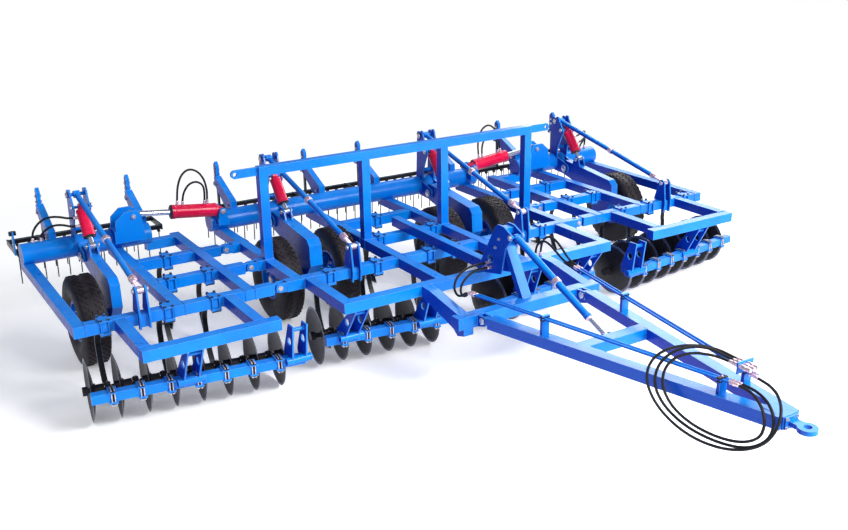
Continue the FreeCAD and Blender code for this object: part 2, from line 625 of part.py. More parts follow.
# ---------------------------------------------------------------- wheel arms and wheels
def wheel_arm(x, wide, stubs):
    """A deep box arm from its pin behind, forward over the axle, with axle stubs."""
    y, z = size("arm_pivot_y"), size("arm_pivot_z")
    axle_y, axle_z = size("axle_y"), size("tyre_radius")
    outline = ((y + 8, z + 98), (axle_y - 180, z + 8), (axle_y - 238, z - 50),
               (axle_y - 250, z - 270), (axle_y - 75, axle_z - 66), (axle_y + 65, axle_z - 72),
               (axle_y + 230, z - 200), (y + 8, z - 98))
    shapes = [plate(outline, wide, x), disc_x(y, z, 98, x - wide / 2, wide)]
    arm = fused(shapes).cut(disc_x(y, z, size("arm_pin") / 2 + 0.3, x - wide, 2 * wide))
    foot_y, foot_z = size("depth_foot_y"), size("depth_foot_z")
    low = z + 60
    extra = []
    spread = size("depth_eye_width") / 2 + 4 + 8
    for side in (-1, 1):
        ears = ((foot_y - 75, low), (foot_y + 85, low), (foot_y + 34, foot_z + 10),
                (foot_y + 14, foot_z + 34), (foot_y - 14, foot_z + 34),
                (foot_y - 34, foot_z + 10))
        extra.append(plate(ears, 16, x + side * spread))
        extra.append(disc_x(foot_y, foot_z, 16, x + side * (spread + 14) - 6, 12))
    for start, end in stubs:
        extra.append(disc_x(axle_y, axle_z, size("axle_radius"), start, end - start))
        extra.append(disc_x(axle_y, axle_z, 62, *((start, 26) if start > x else (end - 26, 26))))
    return fused([arm] + extra)


wing_x, centre_x = -size("wing_mast_x"), -size("centre_mast_x")
wing_wide, centre_wide = size("wing_arm_width"), size("centre_arm_width")
wheel_x, twin = -size("wing_wheel_x"), size("twin_spread")
pair("wing_arm", solid("wing_arm", wheel_arm(
    wing_x, wing_wide, [(wheel_x - 58, wing_x - wing_wide / 2)])))
pair("centre_arm", solid("centre_arm", wheel_arm(centre_x, centre_wide, [
    (centre_x - twin - 58, centre_x - centre_wide / 2),
    (centre_x + centre_wide / 2, centre_x + twin + 58)])))


def tyre(x):
    """A tyre as a closed ring: rounded shoulders, flat crown, narrower at the beads."""
    outer, half, bore = size("tyre_radius"), size("tyre_width") / 2, size("tyre_bore")
    points = ((bore, -half * 0.72), (bore + 60, -half * 0.94), (outer - 90, -half),
              (outer - 30, -half * 0.86), (outer, -half * 0.6))
    profile = list(points) + [(r, -a) for r, a in reversed(points)]
    y, z = size("axle_y"), size("tyre_radius")
    corners = [vec(x + a, y, z + r) for r, a in profile]
    face = Part.Face(Part.makePolygon(corners + corners[:1]))
    return face.revolve(vec(x, y, z), vec(1, 0, 0), 360)


def rim(x, outside):
    """A dished rim with its hub; outside is the way that the hub cap looks."""
    y, z, half = size("axle_y"), size("tyre_radius"), size("tyre_width") / 2
    bore, axle = size("tyre_bore") - 0.3, size("axle_radius") + 0.3
    wide = half * 0.72
    well = Part.makeCylinder(bore, 2 * wide, vec(x - wide, y, z), vec(1, 0, 0)).cut(
        Part.makeCylinder(bore - 10, 2 * wide + 4, vec(x - wide - 2, y, z), vec(1, 0, 0)))
    start = x + outside * 20
    web = disc_x(y, z, bore - 5, min(start, start + outside * 12), 12)
    hub = disc_x(y, z, 68, x - 72 if outside < 0 else x - 60, 132)
    cap_x = x + outside * 78
    cap = disc_x(y, z, 50, min(cap_x, cap_x - outside * 14), 14)
    lip = [Part.makeCylinder(bore, 12, vec(x + a, y, z), vec(1, 0, 0)).cut(
        Part.makeCylinder(bore - 22, 12, vec(x + a, y, z), vec(1, 0, 0)))
        for a in (-wide, wide - 12)]
    body = fused([well, web, hub] + lip)
    end = x + outside * 70.3
    inner = disc_x(y, z, axle, min(x - outside * 100, end), abs(end - x + outside * 100))
    return fused([body.cut(inner), cap])


wheels = {"wing": [(wheel_x, -1)], "centre": [(centre_x - twin, -1), (centre_x + twin, 1)]}
for word, places in wheels.items():
    pair(f"{word}_tyre", solid(f"{word}_tyre", Part.makeCompound([tyre(x) for x, _ in places])
                               if len(places) > 1 else tyre(wheel_x)))
    pair(f"{word}_rim", solid(f"{word}_rim", Part.makeCompound(
        [rim(x, way) for x, way in places]) if len(places) > 1 else rim(wheel_x, -1)))


# ---------------------------------------------------------------- stays
def stay(x, top):
    """A stay from a mast's top pin to the bracket in front, with a turnbuckle collar."""
    y, z = size("mast_y") + 10, top - 42
    start, end = vec(x, y, z), vec(x, size("stay_foot_y"), size("stay_foot_z"))
    run = (end - start).normalize()
    long = (end - start).Length
    eye = size("stay_eye_radius")
    tube = long - size("stay_thread")
    wide = size("stay_eye_width")
    shapes = [Part.makeCylinder(size("stay_radius"), tube - 20, start + run * 20, run),
              Part.makeCylinder(size("stay_radius") * 0.6, long - tube, start + run * (tube - 14),
                                run),
              Part.makeCylinder(size("stay_radius") * 1.25, 40, start + run * (tube - 40), run),
              Part.makeCylinder(size("stay_radius") * 1.2, 46, start + run * long * 0.5, run),
              disc_x(y, z, eye + 6, x - wide / 2, wide), disc_x(end.y, end.z, eye, x - wide / 2, wide)]
    whole = fused(shapes)
    return whole.cut(disc_x(y, z, 18.3, x - 60, 120)).cut(
        disc_x(end.y, end.z, 13.3, x - 60, 120))


pair("wing_stay", solid("wing_stay", stay(wing_x, size("wing_mast_top"))))
node("centre_stays", solid("centre_stays", Part.makeCompound(
    [stay(side * centre_x, size("centre_mast_top")) for side in (-1, 1)])))


# ---------------------------------------------------------------- disc gangs
def gang_place(x, y):
    """The place of a left gang: its shaft runs outwards and, by the sweep, to the rear."""
    turn = FreeCAD.Rotation(vec(0, 0, 1), 180 - size("gang_sweep"))
    return FreeCAD.Placement(vec(-x, y, size("disc_radius")), turn)


def dished_disc(x):
    """A dished disc across the shaft, its hollow side outwards."""
    radius, dish, thick = size("disc_radius"), size("disc_dish"), size("disc_plate")
    ball = (radius ** 2 + dish ** 2) / (2 * dish)
    centre = x + ball
    outer = Part.makeSphere(ball, vec(centre, 0, 0))
    inner = Part.makeSphere(ball - thick, vec(centre, 0, 0))
    slab = Part.makeCylinder(radius, dish + 4, vec(x - 2, 0, 0), vec(1, 0, 0))
    return slab.common(outer).cut(inner)


def disc_set(count):
    """A shaft with its discs, the spools between them and an end hub."""
    pitch, spool = size("disc_pitch"), size("spool_radius")
    shapes = [Part.makeCylinder(size("gang_shaft_radius"), pitch * (count - 1) + 190,
                                vec(-95, 0, 0), vec(1, 0, 0))]
    for number in range(count):
        x = number * pitch
        shapes.append(dished_disc(x))
        shapes.append(Part.makeCylinder(spool + 12, 18, vec(x - 12, 0, 0), vec(1, 0, 0)))
        if number < count - 1:
            for a in (12, pitch - 12 - 62):
                shapes.append(Part.makeCylinder(spool, 62, vec(x + a - 4, 0, 0), vec(1, 0, 0)))
    for x in (-95, pitch * (count - 1) + 50):
        shapes.append(Part.makeCylinder(40, 45, vec(x, 0, 0), vec(1, 0, 0)))
    return fused(shapes)


def bearing(x, ahead, lift):
    """A bearing ring on the shaft, its bent arm and the clamp on the bar in front."""
    bar_side = size("gang_bar")
    ring = Part.makeCylinder(50, 40, vec(x - 20, 0, 0), vec(1, 0, 0)).cut(
        Part.makeCylinder(size("gang_shaft_radius") + 0.3, 44, vec(x - 22, 0, 0),
                          vec(1, 0, 0)))
    arm = bar((x, 44, 0), (x, ahead - 60, lift - bar_side / 2 - 16), 36, 30)
    foot = Part.makeBox(70, bar_side + 44, 14,
                        vec(x - 35, ahead - bar_side / 2 - 22, lift - bar_side / 2 - 14))
    cap = Part.makeBox(70, bar_side + 44, 12,
                       vec(x - 35, ahead - bar_side / 2 - 22, lift + bar_side / 2))
    toe = Part.makeBox(36, 60, 44, vec(x - 18, ahead - 90, lift - bar_side / 2 - 44))
    return fused([ring, arm, foot, cap, toe])


def hanger(x, y, bar_y, bar_z):
    """Two A-shaped plates with a window from the carrier tube down to the gang's bar."""
    low, top, half = bar_z - 10, size("frame_top") - size("tube"), size("tube") / 2
    shapes = []
    for side in (-1, 1):
        spot = x + side * size("hanger_gap") / 2
        outline = ((y - half, top + 60), (y - half, top), (bar_y - 90, low + 60),
                   (bar_y - 90, low), (bar_y + 70, low), (bar_y + 90, low + 70),
                   (y + half, top), (y + half, top + 60))
        blank = plate(outline, size("hanger_plate"), spot)
        hole = disc_x((y + bar_y) / 2, (top + bar_z) / 2 + 20, 36, spot - 20, 40)
        shapes.append(blank.cut(hole))
    shapes.append(disc_x(bar_y - 62, bar_z + 20, 34, x - 120, 240))
    shapes.append(disc_x(y + (bar_y - y) * 0.14, top - 50, 18, x - size("hanger_gap") / 2,
                         size("hanger_gap")))
    return fused(shapes)


def gang_bar(x, y, count, hangers):
    """The bar in front of a gang with its bearings and the hangers it is carried by."""
    pitch, side = size("disc_pitch"), size("gang_bar")
    ahead, lift = size("gang_bar_ahead"), size("gang_bar_z") - size("disc_radius")
    long = pitch * (count - 1)
    shapes = [Part.makeBox(long + 170, side, side,
                           vec(-110, ahead - side / 2, lift - side / 2))]
    for number in range(count - 1):
        shapes.append(bearing(pitch * (number + 0.5) + 6, ahead, lift))
    whole = fused(shapes)
    whole.Placement = gang_place(x, y)
    whole = whole.copy()
    slope = math.radians(size("gang_sweep"))
    parts = []
    for station in hangers:
        along = (station - x) / math.cos(slope) + ahead * math.tan(slope)
        bar_y = y + along * math.sin(slope) - ahead * math.cos(slope)
        parts.append(hanger(-station, size("carrier_y"), bar_y, size("gang_bar_z")))
    tube, top = size("tube"), size("frame_top")
    carrier = Part.makeBox(4000, tube, tube, vec(-4000, size("carrier_y") - tube / 2, top - tube))
    return whole.multiFuse(parts).cut(carrier)


def placed_discs(x, y, count):
    shape = disc_set(count)
    shape.Placement = gang_place(x, y)
    return shape


for word, hangers in (("wing", (1985, 2918)), ("centre", (590, 1370))):
    x, y, count = (size(f"{word}_gang_x"), size(f"{word}_gang_y"), int(size(f"{word}_discs")))
    beam = gang_bar(x, y, count, hangers)
    if word == "wing":
        pair("wing_gang_beam", solid("wing_gang_beam", beam))
    else:
        node("centre_gang_beams", solid("centre_gang_beams", Part.makeCompound(
            [beam, beam.mirror(vec(0, 0, 0), vec(1, 0, 0))])))
    pair(f"{word}_disc_gang", solid(f"{word}_disc_gang", placed_discs(x, y, count)))


# ---------------------------------------------------------------- shanks
def shank(x, y, low=4):
    """A C-shaped spring shank with its clamp on a cross tube and a sweep at its tip."""
    wide, thick = size("shank_width"), size("shank_thick")
    top, tube = size("frame_top"), size("tube")
    middle = top - tube - 20
    clamp_low = Part.makeBox(wide + 40, tube + 44, 20,
                             vec(x - wide / 2 - 20, y - tube / 2 - 22, top - tube - 20))
    clamp_top = Part.makeBox(wide + 40, tube + 44, 14,
                             vec(x - wide / 2 - 20, y - tube / 2 - 22, top))
    bolts = [Part.makeCylinder(8, tube + 60, vec(x + a, y + b, top - tube - 30), vec(0, 0, 1))
             for a in (-wide / 2 - 8, wide / 2 + 8) for b in (-tube / 2 - 11, tube / 2 + 11)]
    path = Part.Wire([
        Part.LineSegment(vec(x, y - 60, middle - 8), vec(x, y + 110, middle - 8)).toShape(),
        Part.Arc(vec(x, y + 110, middle - 8), vec(x, y + 262, middle - 98),
                 vec(x, y + 290, middle - 270)).toShape(),
        Part.Arc(vec(x, y + 290, middle - 270), vec(x, y + 262, middle - 430),
                 vec(x, y + 150, low + 60)).toShape(),
    ])
    section = Part.makePolygon([vec(x + a * wide / 2, y - 60, middle - 8 + b * thick / 2)
                                for a, b in ((-1, -1), (1, -1), (1, 1), (-1, 1), (-1, -1))])
    bow = path.makePipeShell([section], True, False, 2)
    tip = [vec(x, y + 20, low), vec(x - size("sweep_width") / 2, y + 175, low + 20),
           vec(x, y + 150, low + 24), vec(x + size("sweep_width") / 2, y + 175, low + 20)]
    blade = Part.Face(Part.makePolygon(tip[:1] + [tip[1], tip[2]] + tip[:1])).extrude(
        vec(0, 8, 12))
    mirror_blade = Part.Face(Part.makePolygon([tip[0], tip[2], tip[3], tip[0]])).extrude(
        vec(0, 8, 12))
    stem = bar((x, y + 70, low + 10), (x, y + 172, low + 92), wide - 6, 14)
    return fused([clamp_low, clamp_top] + bolts + [bow, stem, blade, mirror_blade])



def shank_set(places):
    """Shanks on one body: (x, station) pairs, as separate solids."""
    return Part.makeCompound([shank(x, y) for x, y in places])


front, middle_y, rear = size("cross_front_y"), size("gantry_y"), size("cross_rear_y")
pair("wing_shanks", solid("wing_shanks", shank_set(
    ((-2440, front), (-2240, middle_y), (-2610, middle_y), (-2430, rear), (-3430, front),
     (-size("wing_mid_x") - size("tube") / 2 - 50, front)))))
node("centre_shanks", solid("centre_shanks", shank_set(
    ((-150, front), (150, front), (-330, middle_y), (330, middle_y), (0, rear),
     (-1280, front), (1280, front), (-760, front), (760, front)))))


# ---------------------------------------------------------------- harrow
def harrow_arm(x):
    """A sloping box beam on the rear beam, with a slotted upright at its end."""
    y, z, radius = size("rear_beam_y"), size("rear_beam_z"), size("rear_beam_radius")
    top, end = size("harrow_top_z"), size("harrow_y")
    outline = ((y - 5, z + 60), (y - 2, z + radius + 76), (end - 92, top - 164),
               (end - 58, top - 176), (end - 58, top - 262), (y + 104, z + 24))
    blank = plate(outline, size("harrow_arm_width"), x)
    upright = plate(((end - 100, top - 240), (end - 100, top - 40), (end - 60, top),
                     (end - 20, top - 40), (end - 20, top - 240)), 36, x)
    slot = Part.makeBox(60, 26, 120, vec(x - 30, end - 73, top - 180))
    hanger_bar = Part.makeBox(20, 40, top - 240 - size("harrow_bar_z") + 10,
                              vec(x - 10, end - 80, size("harrow_bar_z") - 10))
    collar = Part.makeBox(64, 116, 40, vec(x - 32, end - 126, top - 280))
    return fused([blank, upright.cut(slot), hanger_bar, collar]).cut(
        disc_x(y, z, radius, x - 60, 120))


def harrow(arms, start, end, fringe):
    """Two bars across the machine with spring tines, carried by the arms."""
    y, rear_y, z = size("harrow_y"), size("harrow_rear_y"), size("harrow_bar_z")
    side, tip = size("harrow_bar"), size("tine_tip_z")
    shapes = [harrow_arm(x) for x in arms]
    long = end - start
    shapes.append(Part.makeBox(long, side, side, vec(start, y - 80, z)))
    shapes.append(Part.makeBox(long, side, side, vec(start, rear_y - side / 2, z)))
    for x in (start, end - 16, *[a - 8 for a in arms]):
        shapes.append(Part.makeBox(16, rear_y - y + 90, 60, vec(x, y - 80, z - 8)))
    for x in fringe:
        shapes.append(Part.makeBox(16, 60, 250, vec(x, y - 90, z - 10)))
        shapes.append(Part.makeBox(70, 40, 40, vec(x - 27, y - 80, z + 200)))
    count = int((long - 60) / size("tine_spacing"))
    radius = size("tine_radius")
    for number in range(count + 1):
        x = start + 40 + (long - 80) * number / count
        for bar_y, shift in ((y - 80 + side / 2, 0), (rear_y, size("tine_spacing") / 2)):
            if x + shift > end - 20:
                continue
            shapes.append(round_bar((x + shift, bar_y, z + 6), (x + shift, bar_y + 24, tip),
                                    radius))
    return fused(shapes)


pair("wing_harrow", solid("wing_harrow", harrow((-3370, -2450), -3680, -2120, (-3680,))))
node("centre_harrow", solid("centre_harrow", harrow((-1440, -360, 360, 1440), -1560, 1560, ())))


# ---------------------------------------------------------------- drawbar pipes
def drawbar_edge(y):
    """The outer edge of the drawbar's top at one station."""
    rear_y = size("drawbar_pivot_y") - 70
    share = (y - rear_y) / (size("drawbar_nose_y") - rear_y)
    x = size("drawbar_rear_x") + (size("drawbar_nose_x") - size("drawbar_rear_x")) * share
    start = size("drawbar_pivot_z") + 6
    z = start + (size("drawbar_nose_z") - start) * share
    return x, z + size("drawbar_high") / 2


def pipe_end(side, number, y):
    """The middle of a pipe at its front or rear end; number counts from the outside."""
    shift = 34 * number
    lift = 8 if y < -2000 else -26
    return side * (drawbar_edge(y)[0] + 6 - shift), y, size("pipe_z") + lift


PIPE_FRONT, PIPE_REAR = -3060, -560
PLUG_X = (20, 60, 100)


def pipes():
    """Two steel pipes along each beam on upright posts, and the park plate for the plugs."""
    shapes = []
    for side in (-1, 1):
        for number in (0, 1):
            shapes.append(round_bar(pipe_end(side, number, PIPE_REAR),
                                    pipe_end(side, number, PIPE_FRONT), size("pipe_radius")))
        for y in (-1360, -2960):
            x, top = drawbar_edge(y)
            shapes.append(Part.makeBox(74, 30, size("pipe_z") + 36 - top,
                                       vec(side * (x - 12) - 37, y - 15, top - 20)))
    plug_y, plug_z = size("plug_y"), size("plug_z")
    shapes.append(Part.makeBox(163, 12, 90, vec(0, plug_y - 52, plug_z - 60)))
    for x in PLUG_X:
        shapes.append(Part.makeCylinder(size("plug_radius"), size("plug_length"),
                                        vec(x, plug_y, plug_z), vec(0, -1, 0)))
    return fused(shapes)


node("drawbar_pipes", solid("drawbar_pipes", pipes().cut(nodes["drawbar"].Shape)))


# ---------------------------------------------------------------- hoses
def hose(points):
    """A hose along a route of corners: its solid, its length and its smallest radius."""
    route = [vec(*point) for point in points]
    edges, last, radii = [], route[0], []
    for before, corner, after in zip(route, route[1:], route[2:]):
        come, go = (corner - before), (after - corner)
        shorter = min(come.Length, go.Length)
        come.normalize()
        go.normalize()
        half_turn = come.getAngle(go) / 2
        setback = 0.45 * shorter
        radius = setback / math.tan(half_turn)
        start, end = corner - come * setback, corner + go * setback
        inward = (go - come).normalize()
        middle = corner + inward * (radius / math.cos(half_turn) - radius)
        edges.append(Part.makeLine(last, start))
        edges.append(Part.Arc(start, middle, end).toShape())
        radii.append(radius)
        last = end
    edges.append(Part.makeLine(last, route[-1]))
    length = sum(edge.Length for edge in edges)
    ring = Part.Wire([Part.makeCircle(size("hose_radius"), route[0], route[1] - route[0])])
    return Part.Wire(edges).makePipeShell([ring], True, False), length, min(radii)


def hose_set(name, routes):
    """Hoses on one body as separate solids, with their lengths and radii printed."""
    made = [hose(points) for points in routes]
    for _, length, radius in made:
        print(f"{name}: {length:.0f} mm long, {2 * size('hose_radius'):.0f} mm thick,",
              f"smallest bend {radius:.0f} mm")
    return Part.makeCompound([shape for shape, _, _ in made])


SEAT = size("hose_seat")


def past_pipe(side, number, end_y, reach):
    """A point on a pipe's own line, past its front or its rear end."""
    front, rear = (vec(*pipe_end(side, number, y)) for y in (PIPE_FRONT, PIPE_REAR))
    way = (front - rear).normalize()
    return tuple(front + way * reach if end_y == PIPE_FRONT else rear - way * reach)


def past_plug(number, reach):
    """A point straight behind a parked plug."""
    return PLUG_X[number], size("plug_y") + reach, size("plug_z")


COIL = [
    [past_pipe(-1, 0, PIPE_FRONT, SEAT), past_pipe(-1, 0, PIPE_FRONT, 75), (-112, -3235, 922),
     (-146, -3345, 868), (-184, -3405, 780), (-205, -3385, 680), (-236, -3265, 602),
     (-272, -3080, 572), (-308, -2870, 592), (-330, -2700, 662), (-335, -2596, 780),
     (-300, -2566, 896), (-226, -2590, 985), (-116, -2660, 1024), (-22, -2760, 1018),
     past_plug(0, 80), past_plug(0, SEAT)],
    [past_pipe(-1, 1, PIPE_FRONT, SEAT), past_pipe(-1, 1, PIPE_FRONT, 75), (-76, -3248, 930),
     (-104, -3372, 894), (-152, -3456, 812), (-188, -3448, 688), (-230, -3310, 572),
     (-276, -3085, 536), (-322, -2850, 558), (-354, -2652, 645), (-362, -2540, 775),
     (-324, -2520, 905), (-242, -2550, 1006), (-116, -2620, 1058), (4, -2724, 1052),
     past_plug(1, 88), past_plug(1, SEAT)],
    [past_pipe(1, 1, PIPE_FRONT, SEAT), past_pipe(1, 1, PIPE_FRONT, 75), (50, -3235, 944),
     (-10, -3355, 936), (-100, -3462, 888), (-180, -3500, 790), (-232, -3444, 664),
     (-268, -3280, 556), (-306, -3070, 506), (-352, -2845, 526), (-388, -2630, 628),
     (-398, -2500, 778), (-352, -2458, 905), (-250, -2470, 990), (-116, -2530, 1030),
     (22, -2632, 1034), (92, -2748, 1016), past_plug(2, 90), past_plug(2, SEAT)],
]
node("hose_coil", solid("hose_coil", hose_set("hose_coil", COIL)))

head_x = size("head_gap") / 2 + size("head_plate") + SEAT
carrier_top = size("frame_top") + SEAT
FRAME_ROUTES = [
    [(-head_x, -60, 946), (-140, -60, 946), (-262, -88, 962), (-394, -128, 958),
     (-510, -180, 926), (-590, -246, 868), (-616, -330, 822), (-620, -420, 840),
     past_pipe(-1, 0, PIPE_REAR, 70), past_pipe(-1, 0, PIPE_REAR, SEAT)],
    [(-head_x, -92, 908), (-136, -92, 908), (-240, -120, 924), (-352, -160, 918),
     (-464, -212, 884), (-540, -276, 836), (-566, -350, 806), (-578, -430, 838),
     past_pipe(-1, 1, PIPE_REAR, 66), past_pipe(-1, 1, PIPE_REAR, SEAT)],
    [(668, 90, carrier_top), (668, 90, 900), (662, 50, 1000), (642, -50, 1070),
     (614, -180, 1084), (594, -308, 1040), (592, -412, 960),
     past_pipe(1, 0, PIPE_REAR, 70), past_pipe(1, 0, PIPE_REAR, SEAT)],
    [(604, 90, carrier_top), (604, 90, 886), (602, 58, 968), (588, -32, 1032),
     (564, -156, 1042), (552, -276, 1002), (556, -384, 938),
     past_pipe(1, 1, PIPE_REAR, 76), past_pipe(1, 1, PIPE_REAR, SEAT)],
]
node("frame_hoses", solid("frame_hoses", hose_set("frame_hoses", FRAME_ROUTES)))


def along_fold(reach, lift, shift):
    """A point beside the left fold cylinder: along it from its base, above it, across it."""
    start = vec(-size("fold_base_x"), size("fold_y"), size("fold_base_z"))
    run = (vec(-size("fold_eye_x"), size("fold_y"), size("fold_eye_z")) - start).normalize()
    up = vec(run.z, 0, -run.x)
    spot = start + run * reach + up * (size("fold_barrel_radius") + lift)
    return spot.x, spot.y + shift, spot.z


FOLD_ROUTES = [
    [along_fold(*spot) for spot in (
        (470, SEAT, 10), (472, 84, 10), (466, 196, 18), (430, 310, 28), (350, 376, 34),
        (250, 352, 30), (176, 262, 22), (146, 150, 12), (142, 70, 8), (142, SEAT, 8))],
    [along_fold(*spot) for spot in (
        (420, SEAT, -14), (422, 62, -14), (410, 150, -24), (360, 232, -34), (280, 256, -38),
        (206, 212, -32), (184, 130, -20), (180, 60, -14), (180, SEAT, -14))],
]
pair("fold_hoses", solid("fold_hoses", hose_set("fold_hoses", FOLD_ROUTES)))

barrel_side = -size("wing_mast_x") - size("depth_barrel_radius") - SEAT
WING_ROUTES = [
    [(barrel_side, 2571, 1259), (-3236, 2571, 1259), (-3330, 2600, 1290), (-3424, 2664, 1284),
     (-3500, 2734, 1222), (-3548, 2792, 1134), (-3560, 2812, 1070), (-3560, 2812, 1010.2)],
    [(barrel_side, 2514, 1189), (-3230, 2514, 1189), (-3312, 2552, 1216),
     (-3384, 2618, 1206), (-3440, 2694, 1156), (-3474, 2768, 1096), (-3480, 2804, 1064),
     (-3480, 2804, 1010.2)],
]
pair("wing_hoses", solid("wing_hoses", hose_set("wing_hoses", WING_ROUTES)))


# ---------------------------------------------------------------- checks and files
doc.recompute()
for thing in doc.Objects:
    if "Invalid" in thing.State or "Error" in thing.State:
        raise RuntimeError(f"{thing.Name} failed: {thing.State}")
for label, thing in nodes.items():
    shape = thing.Shape
    if shape.isNull() or not shape.isValid() or not shape.Solids:
        raise RuntimeError(f"{label} has no valid shape")
os.makedirs("parts", exist_ok=True)
for label, thing in nodes.items():
    thing.Shape.exportStep(f"parts/{label}.step")
    print(label, len(thing.Shape.Solids), "solids", round(thing.Shape.Volume / 1e6, 2), "litres")
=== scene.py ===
"""Looks of a towed folding cultivator, built round its CAD frame.

Metres, -Y forward, +Z up; left is at negative X, as seen from in front of the machine.
"""

import json
import logging
import math
from dataclasses import dataclass, field
from enum import Enum
from typing import Iterable, Sequence

import bmesh
import bpy
from mathutils import Matrix, Vector

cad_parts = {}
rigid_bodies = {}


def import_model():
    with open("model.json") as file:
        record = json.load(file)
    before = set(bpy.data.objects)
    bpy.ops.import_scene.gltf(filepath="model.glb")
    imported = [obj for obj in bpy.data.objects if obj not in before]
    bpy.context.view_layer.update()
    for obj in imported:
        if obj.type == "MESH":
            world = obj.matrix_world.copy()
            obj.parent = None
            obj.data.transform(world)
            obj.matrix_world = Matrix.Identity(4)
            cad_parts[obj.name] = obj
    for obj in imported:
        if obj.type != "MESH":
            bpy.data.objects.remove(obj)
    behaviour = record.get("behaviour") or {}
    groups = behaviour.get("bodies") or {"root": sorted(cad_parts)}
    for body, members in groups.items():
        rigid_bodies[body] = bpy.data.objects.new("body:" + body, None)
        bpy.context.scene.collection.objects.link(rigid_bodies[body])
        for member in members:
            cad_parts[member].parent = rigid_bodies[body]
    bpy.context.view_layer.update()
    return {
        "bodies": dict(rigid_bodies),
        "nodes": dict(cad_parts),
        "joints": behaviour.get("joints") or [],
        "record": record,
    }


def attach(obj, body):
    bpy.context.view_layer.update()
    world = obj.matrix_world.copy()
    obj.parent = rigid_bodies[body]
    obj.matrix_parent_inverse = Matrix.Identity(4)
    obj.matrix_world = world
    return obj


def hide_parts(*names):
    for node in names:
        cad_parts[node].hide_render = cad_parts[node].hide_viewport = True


LOG = logging.getLogger("cultivator")
Point = tuple[float, float, float]
Tree, Socket, Material = bpy.types.NodeTree, bpy.types.NodeSocket, bpy.types.Material


class Side(Enum):
    """The two halves of the machine, as signs along X."""

    LEFT = -1
    RIGHT = 1

    @property
    def word(self) -> str:
        """The side's name in the frame's nodes and bodies."""
        return self.name.lower()

    def at(self, x: float, y: float, z: float) -> Vector:
        """A point given on the right half, put on this half."""
        return Vector((self.value * x, y, z))


class Place(Enum):
    """Where a wheel or a gang of discs is carried."""

    WING = "wing"
    CENTRE = "centre"


# ---------------------------------------------------------------- materials
def linear(code: str) -> tuple[float, float, float, float]:
    """Turn an sRGB hex colour into linear red, green, blue and alpha.

    Args:
        code: Six hex digits.

    Returns:
        The linear colour with alpha 1.
    """
    parts = [int(code[i:i + 2], 16) / 255 for i in (0, 2, 4)]
    red, green, blue = (p / 12.92 if p <= 0.04045 else ((p + 0.055) / 1.055) ** 2.4
                        for p in parts)
    return red, green, blue, 1.0


def add_node(tree: Tree, kind: str, links: dict | None = None,
             values: dict | None = None, **settings: object) -> bpy.types.Node:
    """Add a shader node with its settings, socket values and incoming links.

    Args:
        tree: The node tree that gets the node.
        kind: The node's type without its ShaderNode prefix.
        links: Output sockets by the input that they feed.
        values: Plain values by the input that they set.
        **settings: The node's own properties.

    Returns:
        The new node.
    """
    node = tree.nodes.new("ShaderNode" + kind)
    for name, value in settings.items():
        setattr(node, name, value)
    for key, value in (values or {}).items():
        node.inputs[key].default_value = value
    for key, socket in (links or {}).items():
        tree.links.new(socket, node.inputs[key])
    return node


